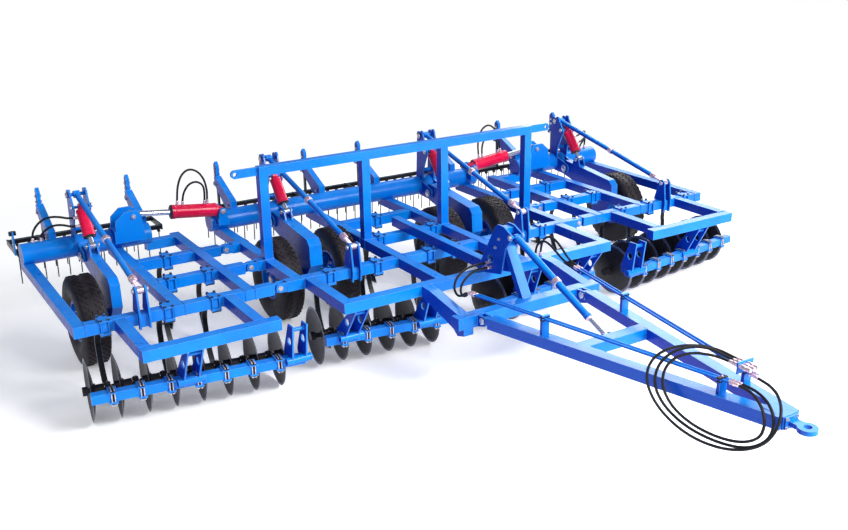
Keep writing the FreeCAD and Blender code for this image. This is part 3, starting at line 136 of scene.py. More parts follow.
@dataclass(frozen=True)
class Surface:
    """What every finish shares: an empty material and the patterns put on it."""

    name: str

    def start(self) -> tuple[Material, Tree, Socket]:
        """Make the material and give its tree and its object coordinates in millimetres."""
        material = bpy.data.materials.new(self.name)
        material.use_nodes = True
        tree = material.node_tree
        tree.nodes.clear()
        coords = add_node(tree, "TexCoord")
        scale = add_node(tree, "VectorMath", {0: coords.outputs["Object"]},
                         {1: (1000.0, 1000.0, 1000.0)}, operation="MULTIPLY")
        return material, tree, scale.outputs[0]

    def noise(self, tree: Tree, mm: Socket, size: float,
              detail: float = 3.0, rough: float = 0.55) -> Socket:
        """Cloudy noise whose patches are about size millimetres wide."""
        return add_node(tree, "TexNoise", {"Vector": mm}, {
            "Scale": 1.0 / size, "Detail": detail, "Roughness": rough}).outputs["Fac"]

    def band(self, tree: Tree, value: Socket, low: float,
             high: float, start: float = 0.0, end: float = 1.0) -> Socket:
        """A value's range from low to high spread over start to end."""
        return add_node(tree, "MapRange", {"Value": value}, {
            "From Min": low, "From Max": high, "To Min": start, "To Max": end}).outputs[0]

    def mix(self, tree: Tree, factor: Socket, first: object, second: object) -> Socket:
        """Blend two colours, each a plain colour or a socket, by a factor."""
        node = add_node(tree, "Mix", {0: factor}, data_type="RGBA")
        for index, colour in ((6, first), (7, second)):
            if isinstance(colour, Socket):
                tree.links.new(colour, node.inputs[index])
            else:
                node.inputs[index].default_value = colour
        return node.outputs[2]

    def times(self, tree: Tree, first: Socket, second: Socket | float) -> Socket:
        """Two values multiplied, clamped to 0..1."""
        node = add_node(tree, "Math", {0: first}, operation="MULTIPLY", use_clamp=True)
        if isinstance(second, Socket):
            tree.links.new(second, node.inputs[1])
        else:
            node.inputs[1].default_value = second
        return node.outputs[0]

    def edges(self, tree: Tree, radius: float) -> Socket:
        """How near a sharp edge is: 0 on flats, rising to 1 on the corner itself."""
        rounded = add_node(tree, "Bevel", values={"Radius": radius}, samples=6)
        plain = add_node(tree, "NewGeometry")
        dot = add_node(tree, "VectorMath", {0: rounded.outputs[0], 1: plain.outputs["Normal"]},
                       operation="DOT_PRODUCT")
        return self.band(tree, dot.outputs["Value"], 0.995, 0.86)

    def upward(self, tree: Tree) -> Socket:
        """How far the surface looks upwards: 1 on top faces, 0 on sides and undersides."""
        plain = add_node(tree, "NewGeometry")
        parts = add_node(tree, "SeparateXYZ", {0: plain.outputs["Normal"]})
        return self.band(tree, parts.outputs["Z"], 0.55, 0.95)

    def shader(self, tree: Tree, material: Material,
               links: dict, values: dict, relief: Socket | None = None,
               depth: float = 0.0, corner: float = 0.0) -> Material:
        """Close a finish: its surface shader, relief and softened corners.

        Args:
            tree: The material's tree.
            material: The material itself.
            links: Patterned inputs of the surface shader.
            values: Plain inputs of the surface shader.
            relief: A height pattern, or None.
            depth: The relief's height in metres.
            corner: The radius that sharp corners are softened to, in metres.

        Returns:
            The finished material.
        """
        normal = None
        if corner:
            normal = add_node(tree, "Bevel", values={"Radius": corner}, samples=6).outputs[0]
        if relief is not None:
            bump = add_node(tree, "Bump", {"Height": relief},
                            {"Distance": depth, "Strength": 1.0})
            if normal is not None:
                tree.links.new(normal, bump.inputs["Normal"])
            normal = bump.outputs[0]
        if normal is not None:
            links = {**links, "Normal": normal}
        surface = add_node(tree, "BsdfPrincipled", links, values)
        add_node(tree, "OutputMaterial", {"Surface": surface.outputs[0]})
        return material


@dataclass(frozen=True)
class Paint(Surface):
    """Sprayed enamel: a soft orange-peel skin, rubbed edges in a pale tint that is also a painted
    edge highlight, and a little dust on top that is also painted top light.
    """

    colour: str
    second: str
    # deep: the colour painted on faces turned away from the key lamp, as painted shade
    deep: str
    # The pale edge tint: rubbed edges, and a painted highlight along them.
    worn: str
    # dust: the pale film on top faces, which is dust and also painted top light
    dust: str = "C9DCEC"
    gloss: float = 0.30
    coat: float = 0.26
    shine: float = 0.12
    # The way towards the key lamp; faces turned from it get the painted shade.
    open_way: Point = (0.40, -0.62, 0.68)
    wear: float = 0.5
    dusty: float = 0.05

    def ground(self, tree: Tree, mm: Socket) -> Socket:
        """The paint's colour, a little uneven, with painted shade: deeper on faces turned away from
        the key lamp.
        """
        cloud = self.noise(tree, mm, 420.0, 4.0)
        colour = self.mix(tree, self.band(tree, cloud, 0.35, 0.65), linear(self.colour),
                          linear(self.second))
        # Painted shade: the colour goes deep as the face turns away from the key lamp.
        plain = add_node(tree, "NewGeometry")
        facing_key_light = add_node(tree, "VectorMath", {0: plain.outputs["Normal"]},
                           {1: self.open_way}, operation="DOT_PRODUCT")
        lit = self.band(tree, facing_key_light.outputs["Value"], -0.45, 0.45)
        return self.mix(tree, lit, linear(self.deep), colour)

    def material(self) -> Material:
        """Build the paint's material."""
        material, tree, mm = self.start()
        colour = self.ground(tree, mm)
        # Flecked edges in a pale tint: rubbed paint, and also a painted highlight along the edges.
        fleck = self.noise(tree, mm, 26.0, 5.0, 0.7)
        edge = self.times(tree, self.edges(tree, 0.006),
                          self.band(tree, fleck, 0.38, 0.62, 0.25, 1.0))
        edge = self.times(tree, edge, self.wear)
        colour = self.mix(tree, edge, colour, linear(self.worn))
        # Pale film on top faces only: dust, and also painted top light that makes the tops paler.
        streak = self.noise(tree, mm, 90.0, 6.0, 0.65)
        film = self.times(tree, self.upward(tree), self.band(tree, streak, 0.42, 0.70))
        film = self.times(tree, film, self.dusty)
        colour = self.mix(tree, film, colour, linear(self.dust))
        peel = self.noise(tree, mm, 3.2, 2.0)
        rough = self.band(tree, streak, 0.3, 0.7, self.gloss - 0.06, self.gloss + 0.14)
        return self.shader(tree, material, {"Base Color": colour, "Roughness": rough},
                           {"Coat Weight": self.coat, "Coat Roughness": 0.2,
                            "Specular IOR Level": self.shine}, peel, 0.00012, 0.004)


@dataclass(frozen=True)
class SplitPaint(Paint):
    """The frame's paint, and dark enamel on all that is behind and below two stations."""

    bars: str = "16161D"
    bars_from: float = 3245.0
    bars_below: float = 1158.0

    def ground(self, tree: Tree, mm: Socket) -> Socket:
        """Blue in front or above, dark behind and below."""
        blue = super().ground(tree, mm)
        place = add_node(tree, "SeparateXYZ", {0: mm})
        behind = self.band(tree, place.outputs["Y"], self.bars_from - 1, self.bars_from)
        below = self.band(tree, place.outputs["Z"], self.bars_below, self.bars_below - 1)
        return self.mix(tree, self.times(tree, behind, below), blue, linear(self.bars))


@dataclass(frozen=True)
class Rubber(Surface):
    """Dark rubber with pale dust rubbed into it."""

    colour: str
    dust: str
    dusty: float
    grain: float = 2.4

    def material(self) -> Material:
        """Build the rubber's material."""
        material, tree, mm = self.start()
        cloud = self.noise(tree, mm, 60.0, 6.0, 0.62)
        film = self.band(tree, cloud, 0.40, 0.72, 0.0, self.dusty)
        colour = self.mix(tree, film, linear(self.colour), linear(self.dust))
        skin = self.noise(tree, mm, self.grain, 3.0)
        rough = self.band(tree, cloud, 0.3, 0.7, 0.48, 0.74)
        return self.shader(tree, material, {"Base Color": colour, "Roughness": rough},
                           {"Specular IOR Level": 0.3}, skin, 0.00025)


@dataclass(frozen=True)
class Plated(Surface):
    """Bare or plated metal: bright, finely scratched, a little dull in patches."""

    colour: str
    dull: str
    rough: float = 0.28

    def material(self) -> Material:
        """Build the metal's material."""
        material, tree, mm = self.start()
        cloud = self.noise(tree, mm, 18.0, 5.0, 0.6)
        colour = self.mix(tree, self.band(tree, cloud, 0.35, 0.7), linear(self.colour),
                          linear(self.dull))
        fine = self.noise(tree, mm, 0.9, 4.0, 0.7)
        rough = self.band(tree, cloud, 0.3, 0.7, self.rough - 0.06, self.rough + 0.16)
        return self.shader(tree, material, {"Base Color": colour, "Roughness": rough},
                           {"Metallic": 0.85}, fine, 0.00004)


@dataclass(frozen=True)
class DiscSteel(Surface):
    """Dark pressed steel round one shaft, ground bright at the discs' cutting edges."""

    axis_point: Point
    axis: Point
    rim: float

    def radius(self, tree: Tree, mm: Socket) -> Socket:
        """The distance from the shaft's axis, in millimetres."""
        offset = add_node(tree, "VectorMath", {0: mm}, {
            1: tuple(1000 * a for a in self.axis_point)}, operation="SUBTRACT").outputs[0]
        along = add_node(tree, "VectorMath", {0: offset}, {1: self.axis},
                         operation="DOT_PRODUCT").outputs["Value"]
        shadow = add_node(tree, "VectorMath", {3: along}, {0: self.axis},
                          operation="SCALE").outputs[0]
        across = add_node(tree, "VectorMath", {0: offset, 1: shadow}, operation="SUBTRACT")
        return add_node(tree, "VectorMath", {0: across.outputs[0]},
                        operation="LENGTH").outputs["Value"]

    def material(self) -> Material:
        """Build the discs' material."""
        material, tree, mm = self.start()
        away = self.radius(tree, mm)
        cloud = self.noise(tree, mm, 34.0, 6.0, 0.65)
        wobble = add_node(tree, "Math", {0: away, 1: self.band(tree, cloud, 0.3, 0.7, -7.0, 7.0)},
                          operation="ADD").outputs[0]
        ground = self.band(tree, wobble, self.rim - 26.0, self.rim - 12.0)
        body = self.mix(tree, self.band(tree, cloud, 0.4, 0.7), linear("0B0A11"),
                        linear("1D1B27"))
        colour = self.mix(tree, ground, body, linear("74768A"))
        ring = add_node(tree, "TexNoise", {"W": away}, {"Scale": 0.8, "Detail": 4.0},
                        noise_dimensions="1D").outputs["Fac"]
        rough = self.band(tree, ground, 0.0, 1.0, 0.42, 0.26)
        return self.shader(tree, material, {
            "Base Color": colour, "Roughness": rough,
            "Metallic": self.band(tree, ground, 0.0, 1.0, 0.25, 0.9)}, {}, ring, 0.00006)


@dataclass
class Finishes:
    """Every finish of the machine, made once."""

    blue: Material = field(init=False)
    harrow: Material = field(init=False)
    shank: Material = field(init=False)
    red: Material = field(init=False)
    black: Material = field(init=False)
    tyre: Material = field(init=False)
    hose: Material = field(init=False)
    chrome: Material = field(init=False)
    zinc: Material = field(init=False)
    rose: Material = field(init=False)
    steel: Material = field(init=False)

    def __post_init__(self) -> None:
        """Build the materials."""
        # Paint colours in order: the paint, its second tone, the painted shade on faces turned from
        # the key lamp, and the pale edge tint of rubbed edge and painted highlight.
        azure = ("0080DE", "0070D4", "022AA0", "98D6FA")
        self.blue = Paint("frame_blue", *azure).material()
        self.shank = SplitPaint("shank_blue_black", *azure, bars_from=0.0,
                                bars_below=699.0).material()
        self.harrow = SplitPaint("harrow_blue_black", *azure).material()
        # Same order here; the black paint's fifth colour is its top film of dust and painted top
        # light.
        self.red = Paint("cylinder_red", "E4124A", "D60A40", "A8083A", "F48CA4", gloss=0.24,
                         coat=0.4, dusty=0.1).material()
        self.black = Paint("clamp_black", "14141B", "0F0F16", "0B0B12", "5C5C66", "8E8A96",
                           gloss=0.42, coat=0.1, dusty=0.25).material()
        self.tyre = Rubber("tyre_rubber", "0C0A11", "4C3A48", 0.30).material()
        self.hose = Rubber("hose_rubber", "0C0C12", "34343E", 0.2, 1.2).material()
        self.chrome = Plated("rod_chrome", "DADDE8", "A9AEC6", 0.14).material()
        self.zinc = Plated("bolt_zinc", "DCD6DC", "ABA3AE", 0.34).material()
        self.rose = Plated("fitting_rose", "F2DCE2", "D9B4C2", 0.30).material()
        self.steel = Plated("bare_steel", "50525C", "30313A", 0.42).material()


# ---------------------------------------------------------------- pieces
def put_in_scene(name: str, data: bpy.types.ID) -> bpy.types.Object:
    """An object with its data, linked to the scene."""
    thing = bpy.data.objects.new(name, data)
    bpy.context.scene.collection.objects.link(thing)
    return thing


class Builder:
    """Collects the geometry of one piece and turns it into an object on a body."""

    def __init__(self) -> None:
        """Start with nothing."""
        self.mesh = bmesh.new()

    def put(self, verts: Iterable[bmesh.types.BMVert], matrix: Matrix) -> None:
        """Move freshly made vertices to their place."""
        bmesh.ops.transform(self.mesh, matrix=matrix, verts=list(verts))

    def prism(self, centre: Vector, axis: Vector, radius: float, length: float,
              sides: int = 6, soft: float = 0.0) -> None:
        """Add a round or many-sided bar centred on a point.

        Args:
            centre: The bar's middle.
            axis: The way it points.
            radius: Its radius.
            length: Its length.
            sides: The number of its sides.
            soft: The width of the bevel on its sharp edges.
        """
        made = bmesh.ops.create_cone(self.mesh, cap_ends=True, segments=sides, radius1=radius,
                                     radius2=radius, depth=length)
        aim = Vector(axis).to_track_quat("Z", "Y").to_matrix().to_4x4()
        self.put(made["verts"], Matrix.Translation(centre) @ aim)
        if soft:
            edges = {e for v in made["verts"] for e in v.link_edges
                     if e.calc_face_angle(0.0) > 0.7}
            self.soften(edges, soft)

    def block(self, centre: Vector, size: Sequence[float], soft: float) -> None:
        """Add a block of a size, with bevelled edges, centred on a point.

        Args:
            centre: The block's middle.
            size: Its lengths along X, Y and Z.
            soft: The width of the bevel.
        """
        made = bmesh.ops.create_cube(self.mesh, size=1.0)
        scale = Matrix.Diagonal((*size, 1.0))
        self.put(made["verts"], Matrix.Translation(centre) @ scale)
        edges = {e for v in made["verts"] for e in v.link_edges}
        self.soften(edges, soft)

    def soften(self, edges: Iterable[bmesh.types.BMEdge], width: float) -> None:
        """Round edges off with a bevel of a width."""
        bmesh.ops.bevel(self.mesh, geom=list(edges), offset=width, segments=2, profile=0.5,
                        affect="EDGES", material=-1)

    def bolt(self, spot: Vector, way: Vector, across: float, high: float) -> None:
        """Add a hexagon head on its washer, standing on a face.

        Args:
            spot: The point of the face under the head's middle.
            way: The way that the face looks.
            across: The hexagon's width across its corners.
            high: The head's height.
        """
        self.prism(spot + way * 0.001, way, across * 0.62, 0.002, 20)
        self.prism(spot + way * (0.002 + high / 2), way, across / 2, high, 6, across * 0.04)

    def turned(self, centre: Vector, axis: Vector, profile: Sequence[tuple[float, float]],
               steps: int = 32) -> list[bmesh.types.BMFace]:
        """Spin a profile round an axis.

        Args:
            centre: The profile's zero point.
            axis: The axis it turns about.
            profile: Pairs of distance along the axis and radius.
            steps: How many steps the turn takes.

        Returns:
            The faces made.
        """
        verts = [self.mesh.verts.new((radius, 0.0, along)) for along, radius in profile]
        edges = [self.mesh.edges.new(pair) for pair in zip(verts, verts[1:])]
        before = set(self.mesh.faces)
        bmesh.ops.spin(self.mesh, geom=verts + edges, cent=(0, 0, 0), axis=(0, 0, 1),
                       angle=math.tau, steps=steps, use_merge=True)
        faces = [f for f in self.mesh.faces if f not in before]
        made = {v for f in faces for v in f.verts}
        bmesh.ops.remove_doubles(self.mesh, verts=list(made), dist=1e-6)
        faces = [f for f in self.mesh.faces if f not in before]
        made = {v for f in faces for v in f.verts}
        aim = Vector(axis).to_track_quat("Z", "Y").to_matrix().to_4x4()
        self.put(made, Matrix.Translation(centre) @ aim)
        bmesh.ops.recalc_face_normals(self.mesh, faces=faces)
        return faces

    def rod(self, points: Sequence[Vector], radius: float, sides: int = 10) -> None:
        """Sweep a round bar along a path by extruding a ring from point to point.

        Args:
            points: The path.
            radius: The bar's radius.
            sides: The number of sides of the ring.
        """
        ring = bmesh.ops.create_circle(self.mesh, cap_ends=True, segments=sides,
                                       radius=radius)["verts"]
        runs = [(b - a).normalized() for a, b in zip(points, points[1:])]
        ways = [runs[0]] + [(a + b).normalized() for a, b in zip(runs, runs[1:])] + [runs[-1]]
        aim = ways[0].to_track_quat("Z", "Y")
        self.put(ring, Matrix.Translation(points[0]) @ aim.to_matrix().to_4x4())
        face = ring[0].link_faces[0]
        for before, after, way0, way1 in zip(points, points[1:], ways, ways[1:]):
            made = bmesh.ops.extrude_discrete_faces(self.mesh, faces=[face])
            face = made["faces"][0]
            bend = way0.rotation_difference(way1).to_matrix().to_4x4()
            self.put(face.verts, Matrix.Translation(after) @ bend @ Matrix.Translation(-before))

    def build(self, name: str, material: Material, body: str, slot: str,
              smooth: float = 35.0, frame: Matrix | None = None) -> bpy.types.Object:
        """Turn what was collected into an object that rides on a body.

        Args:
            name: The piece's name.
            material: Its finish.
            body: The body it rides on.
            slot: The record's material slot; not used.
            smooth: The largest angle, in degrees, that is shaded smooth.
            frame: The axes that the geometry was given in, or None for the machine's own.

        Returns:
            The object.
        """
        if frame is not None:
            bmesh.ops.transform(self.mesh, matrix=frame, verts=self.mesh.verts[:])
        bmesh.ops.recalc_face_normals(self.mesh, faces=self.mesh.faces[:])
        data = bpy.data.meshes.new(name)
        self.mesh.to_mesh(data)
        self.mesh.free()
        piece = put_in_scene(name, data)
        data.set_sharp_from_angle(angle=math.radians(smooth))
        data.materials.append(material)
        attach(piece, body)
        LOG.info("%s: %d faces on %s", name, len(data.polygons), body)
        return piece


# ---------------------------------------------------------------- sizes
@dataclass(frozen=True)
class Sizes:
    """The frame's main stations, in metres."""

    tube: float = 0.100
    frame_top: float = 0.820
    hinge_x: float = 1.800
    hinge_z: float = 0.770
    stations: tuple[float, ...] = (0.880, 1.570, 2.220)
    mast_x: tuple[float, ...] = (1.020, 3.095)
    mast_top: tuple[float, ...] = (1.560, 1.485)
    mast_half: float = 0.079
    stay_pin_y: float = 2.770
    stay_foot_y: float = 0.850
    stay_foot_z: float = 1.030
    arm_half: tuple[float, ...] = (0.070, 0.048)
    arm_y: float = 2.570
    arm_z: float = 0.860
    head_y: float = 2.640
    head_z: float = 1.345
    foot_y: float = 2.370
    foot_z: float = 1.010
    fold_y: float = 2.720
    fold_base: tuple[float, float] = (1.640, 1.050)
    fold_eye: tuple[float, float] = (2.600, 1.160)
    fold_half: float = 0.101
    sweep: float = 7.5
    disc_radius: float = 0.280
    disc_pitch: float = 0.235
    gang_start: tuple[Point, ...] = ((0.329, 0.539, 0.280), (1.980, 0.501, 0.280))
    strut_top: tuple[float, float] = (-0.380, 1.270)
    strut_foot: tuple[float, float] = (-1.618, 0.740)


SIZES = Sizes()
X_AXIS, Y_AXIS, Z_AXIS = Vector((1, 0, 0)), Vector((0, 1, 0)), Vector((0, 0, 1))


def column(place: Place) -> int:
    """Which entry of a pair of sizes belongs to a place: the centre's, then the wing's."""
    return 0 if place is Place.CENTRE else 1


def spots() -> list[tuple[Side, Place, int, str]]:
    """Each side and place, with its entry in a pair of sizes and its name."""
    return [(side, place, column(place), f"{side.word}_{place.value}")
            for side in Side for place in Place]


def carrier(side: Side, place: Place) -> str:
    """The body that carries a place's masts, arms and gangs."""
    return "frame" if place is Place.CENTRE else f"{side.word}_wing"


@dataclass
class Pins:
    """The heads, washers and cotters on the ends of every pin."""

    finishes: Finishes
    size: Sizes = SIZES
    ear: Point = (0.560, -0.715, 0.700)
    plate_x: float = 0.066
    plate_bolts: tuple[tuple[float, float], ...] = (
        (-0.020, 0.900), (0.030, 0.860), (-0.215, 1.215), (-0.160, 1.120))
    flange_x: float = 0.055
    flange_y: float = -3.476
    flange_bolts: tuple[float, ...] = (0.755, 0.825)

    def end(self, builder: Builder, spot: Vector, way: Vector, radius: float) -> None:
        """Close one end of a pin with a washer, a domed head and a cotter.

        Args:
            builder: The piece that gets it.
            spot: The middle of the pin's end face.
            way: The way that the end looks.
            radius: The head's radius.
        """
        builder.prism(spot - way * 0.003, way, radius * 1.32, 0.005, 24, 0.001)
        builder.turned(spot - way * 0.001, way, [(0.0, radius), (0.007, radius),
                                                 (0.010, radius * 0.86),
                                                 (0.011, 0.0001)], 20)
        across = Z_AXIS if abs(way.z) < 0.5 else X_AXIS
        builder.prism(spot + way * 0.006, across, 0.0028, radius * 2.5, 8)

    def both(self, builder: Builder, centre: Vector, way: Vector, half: float,
             radius: float) -> None:
        """Close both ends of a pin."""
        for sign in (-1, 1):
            self.end(builder, centre + way * (sign * half), way * sign, radius)

    def carriers(self) -> None:
        """The pins of the hinges, masts, arm lugs, stay brackets and fold bases."""
        size = self.size
        centre = Builder()
        for side in Side:
            wing = Builder()
            for y in size.stations:
                self.both(centre, side.at(size.hinge_x, y, size.hinge_z), Y_AXIS, 0.050, 0.020)
            for place, builder in ((Place.CENTRE, centre), (Place.WING, wing)):
                pick = column(place)
                x, top = size.mast_x[pick], size.mast_top[pick]
                half = size.mast_half + 0.020
                self.both(builder, side.at(x, size.head_y, size.head_z), X_AXIS, half, 0.019)
                self.both(builder, side.at(x, size.stay_pin_y, top - 0.042), X_AXIS, half,
                          0.024)
                self.both(builder, side.at(x, size.stay_foot_y, size.stay_foot_z), X_AXIS,
                          0.064, 0.019)
                self.both(builder, side.at(x, size.arm_y, size.arm_z), X_AXIS,
                          size.arm_half[pick] + 0.041, 0.034)
            base_x, base_z = size.fold_base
            self.both(centre, side.at(base_x, size.fold_y, base_z), Y_AXIS, 0.111, 0.022)
            eye_x, eye_z = size.fold_eye
            self.both(wing, side.at(eye_x, size.fold_y, eye_z), Y_AXIS,
                      size.fold_half + 0.014, 0.021)
            wing.build(f"{side.word}_wing_pin_heads", self.finishes.zinc,
                       f"{side.word}_wing", "rod")
        centre.build("centre_pin_heads", self.finishes.zinc, "frame", "rod")

    def arms(self) -> None:
        """The pins at the feet of the depth cylinders, and the axle ends."""
        size = self.size
        for side, _, pick, name in spots():
            builder = Builder()
            self.both(builder, side.at(size.mast_x[pick], size.foot_y, size.foot_z), X_AXIS,
                      0.059, 0.019)
            builder.build(f"{name}_arm_pin_heads", self.finishes.zinc, f"{name}_arm", "rod")

    def drawbar(self) -> None:
        """The pins of the drawbar's ears, the strut, and the bolts of the hitch flange."""
        front, bar = Builder(), Builder()
        for side in Side:
            self.both(front, side.at(*self.ear), X_AXIS, 0.053, 0.024)
        top_y, top_z = self.size.strut_top
        self.both(front, Vector((0, top_y, top_z)), X_AXIS, 0.074, 0.020)
        for side in Side:
            for y, z in self.plate_bolts:
                front.bolt(side.at(self.plate_x, y, z), side.at(1, 0, 0), 0.026, 0.014)
        front.build("headstock_bolts", self.finishes.zinc, "frame", "rod")
        foot_y, foot_z = self.size.strut_foot
        for side in Side:
            self.end(bar, side.at(0.045, foot_y, foot_z), side.at(1, 0, 0), 0.020)
            for z in self.flange_bolts:
                bar.bolt(side.at(self.flange_x, self.flange_y, z), -Y_AXIS, 0.022, 0.012)
        bar.build("drawbar_bolts", self.finishes.zinc, "drawbar", "rod")

    def dress(self) -> None:
        """Close every pin."""
        self.carriers()
        self.arms()
        self.drawbar()


@dataclass
class GangClamps:
    """The clamps that hold the disc bearings: plates, U-bolts, nuts and housings."""

    finishes: Finishes
    size: Sizes = SIZES
    ahead: float = 0.340
    bar_z: float = 0.080
    bar_half: float = 0.040
    counts: tuple[int, ...] = (6, 8)

    def place(self, side: Side, where: Place) -> Matrix:
        """From a gang's own axes, along its shaft and ahead, to the machine's."""
        x, y, z = self.size.gang_start[column(where)]
        turn = Matrix.Rotation(math.radians(180 - self.size.sweep), 4, "Z")
        left = Matrix.Translation((-x, y, z)) @ turn
        return left if side is Side.LEFT else Matrix.Diagonal((-1, 1, 1, 1)) @ left

    def u_bolt(self, builder: Builder, x: float) -> None:
        """A round U over the bar, with its nuts under the lower plate."""
        front, back = self.ahead + self.bar_half + 0.010, self.ahead - self.bar_half - 0.010
        top, low = self.bar_z + self.bar_half + 0.022, self.bar_z - self.bar_half - 0.034
        soft = 0.014
        builder.rod([Vector((x, front, low)), Vector((x, front, top - soft)),
                     Vector((x, front - soft * 0.3, top - soft * 0.3)),
                     Vector((x, front - soft, top)), Vector((x, back + soft, top)),
                     Vector((x, back + soft * 0.3, top - soft * 0.3)),
                     Vector((x, back, top - soft)), Vector((x, back, low))], 0.0055, 8)
        for y in (front, back):
            builder.prism(Vector((x, y, low + 0.012)), Z_AXIS, 0.0125, 0.012, 6, 0.001)
            builder.prism(Vector((x, y, low + 0.019)), Z_AXIS, 0.0145, 0.002, 16)

    def clamp(self, plates: Builder, bright: Builder, x: float) -> None:
        """One bearing's clamp: two dark plates, two U-bolts, the housing and its nipple."""
        reach = 2 * self.bar_half + 0.050
        for z in (self.bar_z + self.bar_half + 0.014, self.bar_z - self.bar_half - 0.016):
            plates.block(Vector((x, self.ahead, z)), (0.040, reach, 0.005), 0.0015)
        plates.block(Vector((x, self.ahead + self.bar_half + 0.003, self.bar_z)),
                     (0.018, 0.006, 0.074), 0.0015)
        plates.turned(Vector((x, 0, 0)), X_AXIS, [
            (-0.024, 0.034), (-0.024, 0.046), (-0.018, 0.0525), (0.018, 0.0525),
            (0.024, 0.046), (0.024, 0.034)], 28)
        for shift in (-0.013, 0.013):
            self.u_bolt(bright, x + shift)
        bright.prism(Vector((x, 0, 0.058)), Z_AXIS, 0.0045, 0.014, 8, 0.0008)
        for angle in range(0, 360, 90):
            spot = Vector((x, 0.040 * math.cos(math.radians(angle + 45)),
                           0.040 * math.sin(math.radians(angle + 45))))
            for way in (-1, 1):
                bright.prism(spot + X_AXIS * (way * 0.027), X_AXIS, 0.006, 0.006, 6)

    def dress(self) -> None:
        """Clamp every bearing of the four gangs."""
        for side, place, pick, name in spots():
            plates, bright = Builder(), Builder()
            for number in range(self.counts[pick] - 1):
                self.clamp(plates, bright, self.size.disc_pitch * (number + 0.5) + 0.006)
            frame, body = self.place(side, place), carrier(side, place)
            plates.build(f"{name}_gang_clamps", self.finishes.black, body, "black_paint",
                         frame=frame)
            bright.build(f"{name}_gang_u_bolts", self.finishes.zinc, body, "rod", frame=frame)


@dataclass
class Stays:
    """The plated parts of the four stays: collar, thread, lock nut and foot eye."""

    finishes: Finishes
    size: Sizes = SIZES
    radius: float = 0.028
    thread: float = 0.180
    eye: float = 0.030

    def one(self, builder: Builder, start: Vector, end: Vector) -> None:
        """Dress one stay that runs from its top pin to its foot."""
        run = (end - start).normalized()
        long = (end - start).length
        collar = start + run * (long * 0.5 + 0.023)
        builder.turned(collar, run, [(-0.030, self.radius), (-0.030, 0.0345), (-0.026, 0.038),
                                     (0.026, 0.038), (0.030, 0.0345), (0.030, self.radius)], 28)
        builder.prism(collar, run, 0.0415, 0.026, 6, 0.002)
        tube_end = long - self.thread
        pitch, profile = 0.0062, []
        steps = int((self.thread - self.eye - 0.012) / pitch)
        for number in range(steps):
            along = tube_end + 0.004 + number * pitch
            profile += [(along, 0.0172), (along + pitch * 0.5, 0.0196)]
        builder.turned(start, run, profile, 20)
        builder.prism(start + run * (tube_end + 0.016), run, 0.034, 0.026, 6, 0.002)
        builder.turned(start + run * (tube_end - 0.020), run, [
            (-0.021, self.radius), (-0.021, 0.0355), (0.021, 0.0355), (0.021, 0.020)], 28)
        builder.turned(end, X_AXIS, [
            (-0.0315, 0.0145), (-0.0315, 0.0290), (-0.0285, 0.0314), (0.0285, 0.0314),
            (0.0315, 0.0290), (0.0315, 0.0145)], 28)

    def dress(self) -> None:
        """Dress the four stays."""
        size = self.size
        for side, place, pick, name in spots():
            builder = Builder()
            x = size.mast_x[pick]
            self.one(builder, side.at(x, size.stay_pin_y, size.mast_top[pick] - 0.042),
                     side.at(x, size.stay_foot_y, size.stay_foot_z))
            builder.build(f"{name}_stay_thread", self.finishes.rose, carrier(side, place), "rod")


